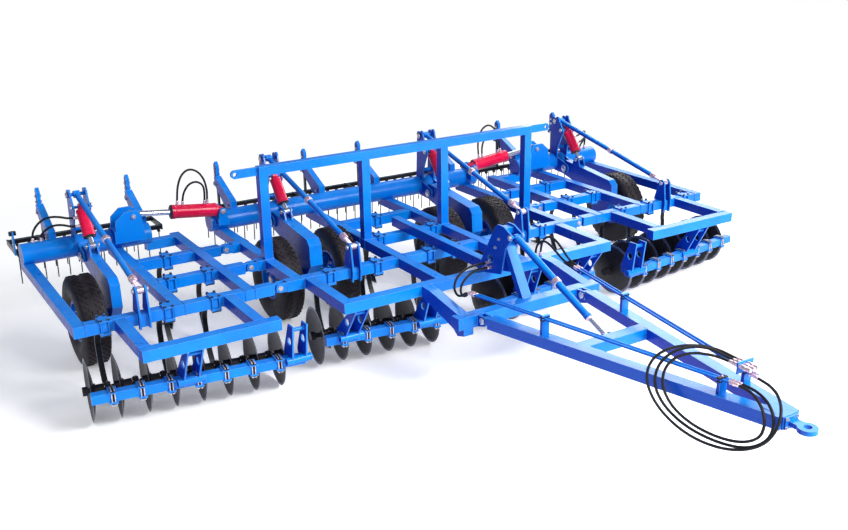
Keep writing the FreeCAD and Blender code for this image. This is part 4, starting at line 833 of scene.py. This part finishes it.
@dataclass
class Cylinders:
    """Caps, glands, ports and wipers of the hydraulic cylinders and the strut."""

    finishes: Finishes
    size: Sizes = SIZES

    def barrel(self, paint: Builder, bright: Builder, start: Vector, end: Vector,
               radius: float, length: float, rod: float, base: float) -> None:
        """Dress one barrel between its pin and its rod's pin.

        Args:
            paint: The piece in the barrel's own colour.
            bright: The plated piece.
            start: The base eye's middle.
            end: The rod eye's middle.
            radius: The barrel's radius.
            length: From the base eye's middle to the gland's face.
            rod: The rod's radius.
            base: From the base eye's middle to the barrel's closed end.
        """
        run = (end - start).normalized()
        paint.turned(start, run, [(base - 0.001, rod), (base - 0.001, radius * 0.9),
                                  (base + 0.006, radius + 0.002), (base + 0.020, radius + 0.003),
                                  (base + 0.024, radius)], 40)
        paint.turned(start, run, [(length - 0.045, radius), (length - 0.040, radius + 0.0035),
                                  (length - 0.034, radius + 0.0035), (length - 0.030, radius)],
                     40)
        bright.turned(start, run, [
            (length - 0.006, radius + 0.003), (length + 0.002, radius + 0.003),
            (length + 0.005, radius - 0.003), (length + 0.005, rod + 0.010),
            (length + 0.012, rod + 0.007), (length + 0.012, rod + 0.0006)], 40)
        side = run.orthogonal().normalized()
        for number in range(4):
            turn = Matrix.Rotation(math.tau * (number + 0.5) / 4, 3, run)
            spot = start + run * (length + 0.004) + (turn @ side) * (rod + radius) * 0.56
            bright.prism(spot, run, 0.0048, 0.004, 6)

    def red(self, body: str, start: Vector, end: Vector, *shape: float) -> None:
        """Dress one red barrel, whose body bears its name; shape goes to barrel."""
        paint, bright = Builder(), Builder()
        self.barrel(paint, bright, start, end, *shape)
        paint.build(f"{body}_rings", self.finishes.red, body, "red_paint")
        bright.build(f"{body}_gland", self.finishes.steel, body, "rod")

    def dress(self) -> None:
        """Dress the six cylinders and the strut."""
        size = self.size
        (base_x, base_z), (eye_x, eye_z) = size.fold_base, size.fold_eye
        for side in Side:
            for place in Place:
                x = size.mast_x[column(place)]
                self.red(f"{side.word}_{place.value}_depth_barrel",
                         side.at(x, size.head_y, size.head_z),
                         side.at(x, size.foot_y, size.foot_z), 0.060, 0.330, 0.025, 0.040)
            self.red(f"{side.word}_fold_barrel", side.at(base_x, size.fold_y, base_z),
                     side.at(eye_x, size.fold_y, eye_z), 0.072, 0.540, 0.030, 0.044)
        paint, bright = Builder(), Builder()
        (top_y, top_z), (foot_y, foot_z) = size.strut_top, size.strut_foot
        self.barrel(paint, bright, Vector((0, top_y, top_z)), Vector((0, foot_y, foot_z)),
                    0.032, 1.120, 0.020, 0.032)
        run = Vector((0, foot_y - top_y, foot_z - top_z)).normalized()
        collar = Vector((0, top_y, top_z)) + run * 0.640
        bright.turned(collar, run, [(-0.028, 0.0325), (-0.024, 0.040), (0.024, 0.040),
                                    (0.028, 0.0325)], 28)
        paint.build("strut_rings", self.finishes.blue, "strut_barrel", "blue_paint")
        bright.build("strut_gland", self.finishes.rose, "strut_barrel", "rod")


@dataclass
class Fittings:
    """Nuts on the shanks, tine coils, pipe clamps, mast lobes and end plates."""

    finishes: Finishes
    size: Sizes = SIZES
    wing_shanks: tuple[tuple[float, float], ...] = (
        (2.440, 0.880), (2.240, 1.570), (2.610, 1.570), (2.430, 2.220), (3.430, 0.880),
        (2.870, 0.880))
    centre_shanks: tuple[tuple[float, float], ...] = (
        (-0.150, 0.880), (0.150, 0.880), (-0.330, 1.570), (0.330, 1.570), (0.0, 2.220),
        (-1.280, 0.880), (1.280, 0.880), (-0.760, 0.880), (0.760, 0.880))
    arms_x: tuple[tuple[float, float], ...] = ((0.360, 1.440), (2.450, 3.370))
    arm_bolts: tuple[tuple[float, float, float, float], ...] = (
        (0.018, 3.270, 1.290, 0.026), (0.018, 3.270, 1.350, 0.026),
        (0.032, 3.250, 1.180, 0.026), (0.035, 2.905, 1.020, 0.028))

    def shank_nuts(self, builder: Builder, x: float, y: float) -> None:
        """The nuts and washers of one shank's clamp, above and below the tube."""
        top, low = self.size.frame_top + 0.014, self.size.frame_top - self.size.tube - 0.020
        for shift in (-0.033, 0.033):
            for step in (-0.061, 0.061):
                spot = Vector((x + shift, y + step, top))
                builder.bolt(spot, Z_AXIS, 0.024, 0.013)
                builder.bolt(Vector((x + shift, y + step, low)), -Z_AXIS, 0.024, 0.0115)

    def shanks(self) -> None:
        """The clamp nuts of every shank."""
        centre = Builder()
        for x, y in self.centre_shanks:
            self.shank_nuts(centre, x, y)
        centre.build("centre_shank_nuts", self.finishes.steel, "frame", "rod")
        for side in Side:
            wing = Builder()
            for x, y in self.wing_shanks:
                self.shank_nuts(wing, side.value * x, y)
            wing.build(f"{side.word}_wing_shank_nuts", self.finishes.steel,
                       f"{side.word}_wing", "rod")

    def tine_coils(self, name: str, body: str, start: float, end: float) -> None:
        """A small coil of spring wire where each tine leaves its bar."""
        builder = Builder()
        count = int((end - start - 0.060) / 0.118)
        for number in range(count + 1):
            x = start + 0.040 + (end - start - 0.080) * number / count
            for y, shift in ((3.276, 0.0), (3.644, 0.059)):
                if x + shift > end - 0.022:
                    continue
                path = [Vector((x + shift - 0.014 + 0.028 * step / 20,
                                y + 0.017 * math.sin(math.tau * step / 8),
                                0.764 + 0.017 * math.cos(math.tau * step / 8)))
                        for step in range(21)]
                builder.rod(path, 0.0058, 6)
        builder.build(f"{name}_tine_coils", self.finishes.black, body, "black_paint")

    def harrow(self) -> None:
        """Tine coils, arm bolts and slot pins of the three harrow sections."""
        self.tine_coils("centre", "frame", -1.560, 1.560)
        centre = Builder()
        for side in Side:
            start, end = sorted(side.value * x for x in (3.680, 2.120))
            self.tine_coils(f"{side.word}_wing", f"{side.word}_wing", start, end)
            wing = Builder()
            for builder, stations in zip((centre, wing), self.arms_x):
                for x in stations:
                    for out, y, z, across in self.arm_bolts:
                        for way in (-1, 1):
                            builder.bolt(side.at(x + way * out, y, z), side.at(way, 0, 0),
                                         across, 0.013)
            wing.build(f"{side.word}_wing_harrow_bolts", self.finishes.zinc,
                       f"{side.word}_wing", "rod")
        centre.build("centre_harrow_bolts", self.finishes.zinc, "frame", "rod")

    def mast_tops(self) -> None:
        """Two rounded lobes at the top of each mast plate."""
        size = self.size
        for side, place, pick, name in spots():
            builder = Builder()
            x, top = size.mast_x[pick], size.mast_top[pick]
            for way in (-1, 1):
                for y, z, radius in ((2.722, top - 0.004, 0.030), (2.786, top - 0.030, 0.040)):
                    builder.prism(side.at(x + way * size.mast_half, y, z), X_AXIS, radius,
                                  0.0172, 32, 0.0015)
            builder.build(f"{name}_mast_lobes", self.finishes.blue, carrier(side, place),
                          "blue_paint")

    def pipe(self, side: Side, number: int, y: float) -> Vector:
        """A point on one of the drawbar's pipes; number counts from the outside."""
        def outside(station: float) -> float:
            return 0.560 - 0.515 * (-0.785 - station) / 2.655

        rear, front = -0.560, -3.060
        share = (rear - y) / (rear - front)
        x = outside(rear) + (outside(front) - outside(rear)) * share + 0.006 - 0.034 * number
        return side.at(x, y, 0.904 + 0.034 * share)

    def pipes(self) -> None:
        """The clamps on the pipes' posts, and the couplings at the pipes' ends."""
        clamps, bright = Builder(), Builder()
        for side in Side:
            for y in (-1.360, -2.960):
                first, second = self.pipe(side, 0, y), self.pipe(side, 1, y)
                middle = (first + second) / 2
                for lift in (-0.0065, 0.0065):
                    clamps.block(middle + Z_AXIS * (lift * 1.9), (0.082, 0.036, 0.0125), 0.002)
                bright.bolt(middle + Z_AXIS * 0.0185, Z_AXIS, 0.013, 0.007)
            for number in (0, 1):
                for y, way in ((-0.560, 1), (-3.060, -1)):
                    spot = self.pipe(side, number, y)
                    bright.turned(spot + Y_AXIS * (-0.030 * way), Y_AXIS * way, [
                        (-0.012, 0.0114), (-0.010, 0.0150), (0.010, 0.0150), (0.014, 0.0135),
                        (0.0296, 0.0135), (0.0296, 0.0110)], 20)
                    bright.prism(spot + Y_AXIS * (-0.024 * way), Y_AXIS, 0.0172, 0.014, 6,
                                 0.001)
        clamps.build("pipe_clamps", self.finishes.black, "drawbar", "black_paint")
        bright.build("pipe_couplings", self.finishes.rose, "drawbar", "rod")

    def dress(self) -> None:
        """Add every small fitting."""
        self.shanks()
        self.harrow()
        self.mast_tops()
        self.pipes()


@dataclass
class Welds:
    """The weld beads round the joints of the frame's square tubes."""

    finishes: Finishes
    size: Sizes = SIZES
    bead: float = 0.0042
    long_x: float = 0.480
    hinge_x: float = 1.555
    gantry_y: float = 1.570
    gantry_x: tuple[float, ...] = (0.480, 1.605)
    gantry_half: float = 0.047
    centre_ends: tuple[tuple[float, float], ...] = ((1.500, 0.830), (0.480, 0.140))
    wing_cross_x: tuple[float, ...] = (2.150, 2.720, 2.050)
    wing_front_x: tuple[float, ...] = (3.590, 2.820)
    wing_ends_x: tuple[float, ...] = (2.310, 3.300)
    wing_ends_y: tuple[float, ...] = (0.140, 0.830)

    def foot(self, builder: Builder, post: Vector) -> None:
        """Beads along the four sides of a gantry post's foot."""
        for way in (-1, 1):
            for first, second in ((X_AXIS, Y_AXIS), (Y_AXIS, X_AXIS)):
                edge, reach = post + first * (way * self.gantry_half), second * self.gantry_half
                builder.rod([edge - reach, edge + reach], self.bead, 8)

    def ring(self, builder: Builder, centre: Vector, across: Vector, half: float) -> None:
        """A bead round a tube's square end.

        Args:
            builder: The piece that gets it.
            centre: The middle of the tube's end.
            across: The level way along the end's face.
            half: Half the tube's side.
        """
        reach = half + self.bead * 0.4
        corners = [centre + across * (a * reach) + Z_AXIS * (b * reach)
                   for a, b in ((-1, 1), (-1, -1), (1, -1), (1, 1))]
        for first, second in zip(corners, corners[1:] + corners[:1]):
            builder.rod([first, second], self.bead, 8)

    def dress(self) -> None:
        """Weld the frames' cross tubes and long beams."""
        size = self.size
        half, z = size.tube / 2, size.frame_top - size.tube / 2
        centre = Builder()
        for x in (-self.long_x, self.long_x):
            for y in size.stations:
                for way in (-1, 1):
                    self.ring(centre, Vector((x + way * half, y, z)), Y_AXIS, half)
        for side in Side:
            for y in size.stations[1:]:
                self.ring(centre, side.at(self.hinge_x, y, z), Y_AXIS, half)
            for x in self.gantry_x:
                self.foot(centre, side.at(x, self.gantry_y, size.frame_top))
            for x, y in self.centre_ends:
                self.ring(centre, side.at(x, y, z), X_AXIS, half)
            wing = Builder()
            for y in size.stations:
                for x in self.wing_cross_x:
                    self.ring(wing, side.at(x, y, z), Y_AXIS, half)
            for x in self.wing_front_x:
                self.ring(wing, side.at(x, size.stations[0], z), Y_AXIS, half)
            for x in self.wing_ends_x:
                for y in self.wing_ends_y:
                    self.ring(wing, side.at(x, y, z), X_AXIS, half)
            wing.build(f"{side.word}_wing_welds", self.finishes.blue, f"{side.word}_wing",
                       "blue_paint")
        centre.build("centre_welds", self.finishes.blue, "frame", "blue_paint")


@dataclass(frozen=True)
class Hose:
    """One hose: its route's corners in metres and its real length."""

    name: str
    body: str
    node: str
    length: float
    route: tuple[Point, ...]
    far_end: str = "object"
    lay: str = "loose"


@dataclass
class Hoses:
    """The hydraulic hoses as smooth curves, with a ferrule and a nut at each end."""

    finishes: Finishes
    radius: float = 0.011

    def ferrule(self, builder: Builder, spot: Vector, way: Vector) -> None:
        """A crimped sleeve and a nut where a hose begins; way leads along the hose."""
        builder.turned(spot, way, [
            (0.0145, 0.0112), (0.0145, 0.0146), (0.019, 0.0152), (0.023, 0.0142),
            (0.027, 0.0152), (0.031, 0.0142), (0.035, 0.0152), (0.040, 0.0140),
            (0.044, 0.0112)], 20)
        builder.prism(spot + way * 0.0075, way, 0.0178, 0.013, 6, 0.001)

    def lay(self, hose: Hose) -> None:
        """Lay one hose as a curve through its route, with its two fittings."""
        data = bpy.data.curves.new(hose.name, "CURVE")
        data.dimensions = "3D"
        data.bevel_depth, data.bevel_resolution = self.radius, 3
        data.resolution_u = 8
        data.use_fill_caps = True
        line = data.splines.new("NURBS")
        line.points.add(len(hose.route) - 1)
        for point, corner in zip(line.points, hose.route):
            point.co = (*corner, 1.0)
        line.order_u = 3
        line.use_endpoint_u = True
        piece = put_in_scene(hose.name, data)
        data.materials.append(self.finishes.hose)
        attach(piece, hose.body)
        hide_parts(hose.node)
        builder = Builder()
        ends = [Vector(point) for point in hose.route]
        self.ferrule(builder, ends[0], (ends[1] - ends[0]).normalized())
        self.ferrule(builder, ends[-1], (ends[-2] - ends[-1]).normalized())
        fitting = builder.build(f"{hose.name}_ends", self.finishes.rose, hose.body, "rod")
        if hose.far_end == "plug":
            plug = Builder()
            self.plug(plug, ends[-1], (ends[-1] - ends[-2]).normalized())
            plug.build(f"{hose.name}_plug", self.finishes.rose, hose.body, "rod")

    def plug(self, builder: Builder, spot: Vector, way: Vector) -> None:
        """A parked quick coupling: body, grooved sleeve and tip."""
        builder.turned(spot, way, [
            (0.0, 0.012), (0.002, 0.0172), (0.030, 0.0172), (0.033, 0.0166), (0.060, 0.0166),
            (0.063, 0.0192), (0.070, 0.0192), (0.072, 0.0180), (0.078, 0.0180),
            (0.080, 0.0192), (0.104, 0.0192), (0.107, 0.0168), (0.148, 0.0168),
            (0.1505, 0.0150), (0.1505, 0.0001)], 28)

    def dress(self) -> None:
        """Lay every hose of the machine."""
        for hose in HOSES:
            self.lay(hose)
        for side in Side:
            for hose in SIDE_HOSES:
                route = hose.route if side is Side.LEFT else turned_over(hose.route)
                self.lay(Hose(f"{side.word}_{hose.name}", f"{side.word}_{hose.body}",
                              f"{side.word}_{hose.node}", hose.length, route))


def metres(*corners: Point) -> tuple[Point, ...]:
    """A route's corners, given in millimetres, in metres."""
    return tuple((x / 1000, y / 1000, z / 1000) for x, y, z in corners)


def turned_over(route: tuple[Point, ...]) -> tuple[Point, ...]:
    """A left route as it lies on the right half."""
    return tuple((-x, y, z) for x, y, z in route)


HOSES: list[Hose] = [
    Hose("coil_hose_1", "drawbar", "hose_coil", 2.079,
         metres(
            (-124.653, -3060.294, 938.004), (-110.429, -3133.621, 939.001), (-112, -3235, 922),
            (-146, -3345, 868), (-184, -3405, 780), (-205, -3385, 680), (-236, -3265, 602),
            (-272, -3080, 572), (-308, -2870, 592), (-330, -2700, 662), (-335, -2596, 780),
            (-300, -2566, 896), (-226, -2590, 985), (-116, -2660, 1024), (-22, -2760, 1018),
            (20, -2850, 1005), (20, -2929.7, 1005)),
         "plug", "coiled"),
    Hose("coil_hose_2", "drawbar", "hose_coil", 2.393,
         metres(
            (-90.653, -3060.294, 938.004), (-76.429, -3133.621, 939.001), (-76, -3248, 930),
            (-104, -3372, 894), (-152, -3456, 812), (-188, -3448, 688), (-230, -3310, 572),
            (-276, -3085, 536), (-322, -2850, 558), (-354, -2652, 645), (-362, -2540, 775),
            (-324, -2520, 905), (-242, -2550, 1006), (-116, -2620, 1058), (4, -2724, 1052),
            (60, -2842, 1005), (60, -2929.7, 1005)),
         "plug", "coiled"),
    Hose("coil_hose_3", "drawbar", "hose_coil", 2.711,
         metres(
            (90.653, -3060.294, 938.004), (76.429, -3133.621, 939.001), (50, -3235, 944),
            (-10, -3355, 936), (-100, -3462, 888), (-180, -3500, 790), (-232, -3444, 664),
            (-268, -3280, 556), (-306, -3070, 506), (-352, -2845, 526), (-388, -2630, 628),
            (-398, -2500, 778), (-352, -2458, 905), (-250, -2470, 990), (-116, -2530, 1030),
            (22, -2632, 1034), (92, -2748, 1016), (100, -2840, 1005), (100, -2929.7, 1005)),
         "plug", "coiled"),
    Hose("frame_hose_1", "frame", "frame_hoses", 0.931,
         metres(
            (-66.3, -60, 946), (-140, -60, 946), (-262, -88, 962), (-394, -128, 958),
            (-510, -180, 926), (-590, -246, 868), (-616, -330, 822), (-620, -420, 840),
            (-622.973, -491.287, 903.066), (-609.701, -559.706, 903.996))),
    Hose("frame_hose_2", "frame", "frame_hoses", 0.854,
         metres(
            (-66.3, -92, 908), (-136, -92, 908), (-240, -120, 924), (-352, -160, 918),
            (-464, -212, 884), (-540, -276, 836), (-566, -350, 806), (-578, -430, 838),
            (-588.211, -495.213, 903.119), (-575.701, -559.706, 903.996))),
    Hose("frame_hose_3", "frame", "frame_hoses", 0.872,
         metres(
            (668, 90, 820.3), (668, 90, 900), (662, 50, 1000), (642, -50, 1070),
            (614, -180, 1084), (594, -308, 1040), (592, -412, 960), (622.973, -491.287, 903.066),
            (609.701, -559.706, 903.996))),
    Hose("frame_hose_4", "frame", "frame_hoses", 0.822,
         metres(
            (604, 90, 820.3), (604, 90, 886), (602, 58, 968), (588, -32, 1032),
            (564, -156, 1042), (552, -276, 1002), (556, -384, 938), (590.115, -485.397, 902.985),
            (575.701, -559.706, 903.996))),
]
SIDE_HOSES: list[Hose] = [
    Hose("fold_hose_1", "fold_barrel", "fold_hoses", 0.891,
         metres(
            (-2098.714, 2730, 1175.334), (-2091.173, 2730, 1258.718),
            (-2072.462, 2738, 1369.307), (-2023.718, 2748, 1478.467),
            (-1936.725, 2754, 1534.931), (-1840.107, 2750, 1499.703),
            (-1776.834, 2742, 1401.864), (-1759.779, 2732, 1287.177),
            (-1764.912, 2728, 1207.242), (-1772.846, 2728, 1137.995))),
    Hose("fold_hose_2", "fold_barrel", "fold_hoses", 0.620,
         metres(
            (-2049.039, 2706, 1169.642), (-2044.002, 2706, 1231.169),
            (-2022.063, 2696, 1317.231), (-1963.053, 2686, 1393.006),
            (-1880.841, 2682, 1407.743), (-1812.331, 2688, 1355.605),
            (-1799.808, 2700, 1271.633), (-1803.803, 2706, 1201.633), (-1810.599, 2706, 1142.321))),
    Hose("wing_hose_1", "wing", "wing_hoses", 0.655,
         metres(
            (-3155.3, 2571, 1259), (-3236, 2571, 1259), (-3330, 2600, 1290), (-3424, 2664, 1284),
            (-3500, 2734, 1222), (-3548, 2792, 1134), (-3560, 2812, 1070), (-3560, 2812, 1010.2))),
    Hose("wing_hose_2", "wing", "wing_hoses", 0.570,
         metres(
            (-3155.3, 2514, 1189), (-3230, 2514, 1189), (-3312, 2552, 1216), (-3384, 2618, 1206),
            (-3440, 2694, 1156), (-3474, 2768, 1096), (-3480, 2804, 1064), (-3480, 2804, 1010.2))),
]


@dataclass
class Wheels:
    """The tyres, with their tread, and the trim of the rims."""

    finishes: Finishes
    axle_y: float = 1.926
    radius: float = 0.440
    half_width: float = 0.132
    bore: float = 0.200
    twin: float = 0.340
    arm_x: float = 1.020
    wing_x: float = 3.340
    blocks: int = 84
    tread: float = 0.009
    rows: tuple[float, ...] = (0.76, 0.60, 0.56, 0.40, 0.36, 0.20, 0.16)

    def centres(self, side: Side, place: Place) -> list[tuple[Vector, int]]:
        """The middle of each tyre and the way its rim's cap looks."""
        if place is Place.WING:
            return [(side.at(self.wing_x, self.axle_y, self.radius), side.value)]
        return [(side.at(self.arm_x + way * self.twin, self.axle_y, self.radius),
                 side.value * way) for way in (-1, 1)]

    def tyre(self, builder: Builder, centre: Vector) -> None:
        """Turn a tyre and raise its tread blocks."""
        half, crown = self.half_width, self.radius - self.tread
        wall = [(-half * 0.70, self.bore + 0.002), (-half * 0.74, self.bore + 0.016),
                (-half * 0.90, self.bore + 0.050), (-half * 0.985, self.bore + 0.105),
                (-half * 0.98, self.bore + 0.140), (-half * 0.94, self.bore + 0.180),
                (-half * 0.86, crown - 0.016)]
        left = wall + [(-half * share, crown - 0.010 * max(0.0, share - 0.5))
                       for share in self.rows]
        profile = left + [(-a, r) for a, r in reversed(left)]
        profile.append(profile[0])
        faces = builder.turned(centre, X_AXIS, profile, self.blocks)
        raised = []
        for face in faces:
            middle = face.calc_center_median() - centre
            across = abs(middle.x) / half
            row = next((number for number, (outer, inner) in enumerate(
                zip(self.rows, self.rows[1:] + (0.0,))) if inner < across < outer), -1)
            if math.hypot(middle.y, middle.z) < crown - 0.012 or row < 0 or row % 2:
                continue
            step = round(math.atan2(middle.z, middle.y) / math.tau * self.blocks - 0.5)
            if (step + row // 2 + (middle.x > 0)) % 2 == 0:
                raised.append(face)
        bmesh.ops.inset_individual(builder.mesh, faces=raised, thickness=0.0025, depth=0.0)
        grown = bmesh.ops.extrude_discrete_faces(builder.mesh, faces=raised)
        for face in grown["faces"]:
            middle = face.calc_center_median() - centre
            outward = Vector((0, middle.y, middle.z)).normalized()
            bmesh.ops.translate(builder.mesh, vec=outward * self.tread, verts=face.verts)

    def rim_trim(self, builder: Builder, centre: Vector, way: int) -> None:
        """Wheel nuts, a hub cap and a valve on a rim's outer side."""
        face_x = centre.x + way * 0.034
        for number in range(6):
            angle = math.tau * number / 6
            spot = Vector((face_x, centre.y + 0.100 * math.cos(angle),
                           centre.z + 0.100 * math.sin(angle)))
            builder.prism(spot, Vector((way, 0, 0)), 0.013, 0.018, 6, 0.0015)
        builder.turned(Vector((centre.x + way * 0.078, centre.y, centre.z)),
                       Vector((way, 0, 0)), [(0.0, 0.040), (0.008, 0.038), (0.012, 0.028),
                                             (0.013, 0.0001)], 24)
        valve = Vector((centre.x + way * 0.050, centre.y + 0.150, centre.z + 0.04))
        builder.prism(valve, Vector((way, 0.4, 0)), 0.004, 0.034, 8)

    def dress(self) -> None:
        """Make every tyre and its trim."""
        for side, place, _, name in spots():
            body = f"{name}_wheel"
            tyres, trim = Builder(), Builder()
            for centre, way in self.centres(side, place):
                self.tyre(tyres, centre)
                self.rim_trim(trim, centre, way)
            tyre = tyres.build(f"{body}_tyre_tread", self.finishes.tyre, body, "tyre", 50)
            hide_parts(f"{name}_tyre")
            trim.build(f"{body}_nuts", self.finishes.zinc, body, "rod")


@dataclass(frozen=True)
class Lamp:
    """A soft square lamp: its place, the point it looks at, its side and its power."""

    name: str
    place: Point
    aim: Point
    width: float
    watts: float


@dataclass
class Studio:
    """The camera, the lamps, the floor and the world."""

    eye: Point = (-5.279, -7.287, 4.109)
    yaw: float = 31.873
    pitch: float = 19.694
    roll: float = -0.811
    lens: float = 42.69
    floor_radius: float = 90.0
    white_from: float = 5.0
    white_to: float = 9.0
    surround: float = 0.32
    floor_glow: float = 0.24
    lamps: tuple[Lamp, ...] = (
        Lamp("key", (3.6, -8.0, 7.6), (0.0, 0.0, 0.5), 5.0, 1850.0),
        Lamp("fill", (-8.0, -5.0, 6.0), (0.0, 0.5, 0.5), 6.0, 360.0),
        Lamp("back", (8.6, 6.0, 6.4), (0.0, 0.0, 0.6), 7.0, 900.0))

    def camera(self) -> None:
        """Put the camera at its place and make it the scene's own."""
        yaw, pitch, roll = (math.radians(a) for a in (self.yaw, self.pitch, self.roll))
        ahead = Vector((math.sin(yaw) * math.cos(pitch), math.cos(yaw) * math.cos(pitch),
                        -math.sin(pitch)))
        level = Vector((math.cos(yaw), -math.sin(yaw), 0.0))
        upward = level.cross(ahead)
        right = level * math.cos(roll) + upward * math.sin(roll)
        top = upward * math.cos(roll) - level * math.sin(roll)
        data = bpy.data.cameras.new("camera")
        data.lens, data.sensor_width = self.lens, 36.0
        data.clip_end = 100.0
        camera = put_in_scene("camera", data)
        camera.matrix_world = Matrix.Translation(self.eye) @ Matrix(
            (right, top, -ahead)).transposed().to_4x4()
        bpy.context.scene.camera = camera

    def light(self, lamp: Lamp) -> None:
        """Hang a lamp and aim it."""
        data = bpy.data.lights.new(lamp.name, "AREA")
        data.size, data.energy = lamp.width, lamp.watts
        thing = put_in_scene(lamp.name, data)
        thing.location = lamp.place
        way = Vector(lamp.aim) - Vector(lamp.place)
        thing.rotation_mode = "QUATERNION"
        thing.rotation_quaternion = way.to_track_quat("-Z", "Y")

    def world(self) -> None:
        """A soft surround that the camera sees as plain white."""
        world = bpy.data.worlds.new("surround")
        world.use_nodes = True
        tree = world.node_tree
        tree.nodes.clear()
        path = add_node(tree, "LightPath")
        soft = add_node(tree, "Background", values={"Color": linear("DDE6F5"),
                                                    "Strength": self.surround})
        white = add_node(tree, "Background", values={"Color": (1, 1, 1, 1), "Strength": 1.0})
        both = add_node(tree, "MixShader", {0: path.outputs["Is Camera Ray"], 1: soft.outputs[0],
                                            2: white.outputs[0]})
        add_node(tree, "OutputWorld", {"Surface": both.outputs[0]})
        bpy.context.scene.world = world

    def floor(self) -> None:
        """A pale floor under the machine that is plain white far away."""
        mesh = bmesh.new()
        bmesh.ops.create_circle(mesh, cap_ends=True, segments=96, radius=self.floor_radius)
        data = bpy.data.meshes.new("floor")
        mesh.to_mesh(data)
        mesh.free()
        floor = put_in_scene("floor", data)
        floor.location.z = -0.0015
        material = bpy.data.materials.new("pale_floor")
        material.use_nodes = True
        tree = material.node_tree
        tree.nodes.clear()
        plain = add_node(tree, "BsdfPrincipled", values={
            "Base Color": linear("FDFDFD"), "Roughness": 0.9, "Specular IOR Level": 0.0,
            "Emission Color": (1, 1, 1, 1), "Emission Strength": self.floor_glow})
        white = add_node(tree, "Emission", values={"Color": (1, 1, 1, 1), "Strength": 1.0})
        coords = add_node(tree, "TexCoord")
        away = add_node(tree, "VectorMath", {0: coords.outputs["Object"]}, operation="LENGTH")
        far = add_node(tree, "MapRange", {"Value": away.outputs["Value"]}, {
            "From Min": self.white_from, "From Max": self.white_to})
        path = add_node(tree, "LightPath")
        seen = add_node(tree, "Math", {0: far.outputs[0], 1: path.outputs["Is Camera Ray"]},
                        operation="MULTIPLY")
        both = add_node(tree, "MixShader", {0: seen.outputs[0], 1: plain.outputs[0],
                                            2: white.outputs[0]})
        add_node(tree, "OutputMaterial", {"Surface": both.outputs[0]})
        data.materials.append(material)

    def build(self) -> None:
        """Set the whole studio up."""
        self.camera()
        self.world()
        self.floor()
        for lamp in self.lamps:
            self.light(lamp)
        bpy.context.scene.view_settings.view_transform = "Standard"


@dataclass
class FrameFinish:
    """The finishes of the nodes that the CAD already shapes in full."""

    finishes: Finishes
    size: Sizes = SIZES

    def gang(self, side: Side, place: Place) -> Material:
        """The disc steel of one gang, measured from that gang's shaft."""
        start = side.at(*self.size.gang_start[column(place)])
        angle = math.radians(self.size.sweep)
        return DiscSteel(f"{side.word}_{place.value}_disc_steel", tuple(start),
                         tuple(side.at(math.cos(angle), math.sin(angle), 0.0)),
                         1000 * self.size.disc_radius).material()

    def choose(self, name: str) -> Material:
        """The finish of one node, by its name."""
        finishes = self.finishes
        endings = {"depth_barrel": finishes.red, "fold_barrel": finishes.red,
                   "depth_rod": finishes.chrome, "fold_rod": finishes.chrome,
                   "strut_rod": finishes.chrome, "shanks": finishes.shank,
                   "harrow": finishes.harrow, "hoses": finishes.hose,
                   "hose_coil": finishes.hose, "tyre": finishes.tyre}
        if name.endswith("disc_gang"):
            side = Side.LEFT if name.startswith("left") else Side.RIGHT
            return self.gang(side, Place.WING if "wing" in name else Place.CENTRE)
        return next((finish for ending, finish in endings.items() if name.endswith(ending)),
                    finishes.blue)

    def dress(self, nodes: dict[str, bpy.types.Object]) -> None:
        """Give each node its finish."""
        for name, node in nodes.items():
            material = self.choose(name)
            if not node.material_slots:
                node.data.materials.append(material)
            for place in node.material_slots:
                place.material = material


def main() -> None:
    """Build the machine's looks round its frame."""
    logging.basicConfig(level=logging.INFO, format="%(name)s: %(message)s")
    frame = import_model()
    studio = Studio()
    studio.build()
    finishes = Finishes()
    FrameFinish(finishes).dress(frame["nodes"])
    for group in (Wheels(finishes), Pins(finishes), GangClamps(finishes), Stays(finishes),
                  Cylinders(finishes), Fittings(finishes), Welds(finishes), Hoses(finishes)):
        group.dress()


if __name__ == "__main__":
    main()
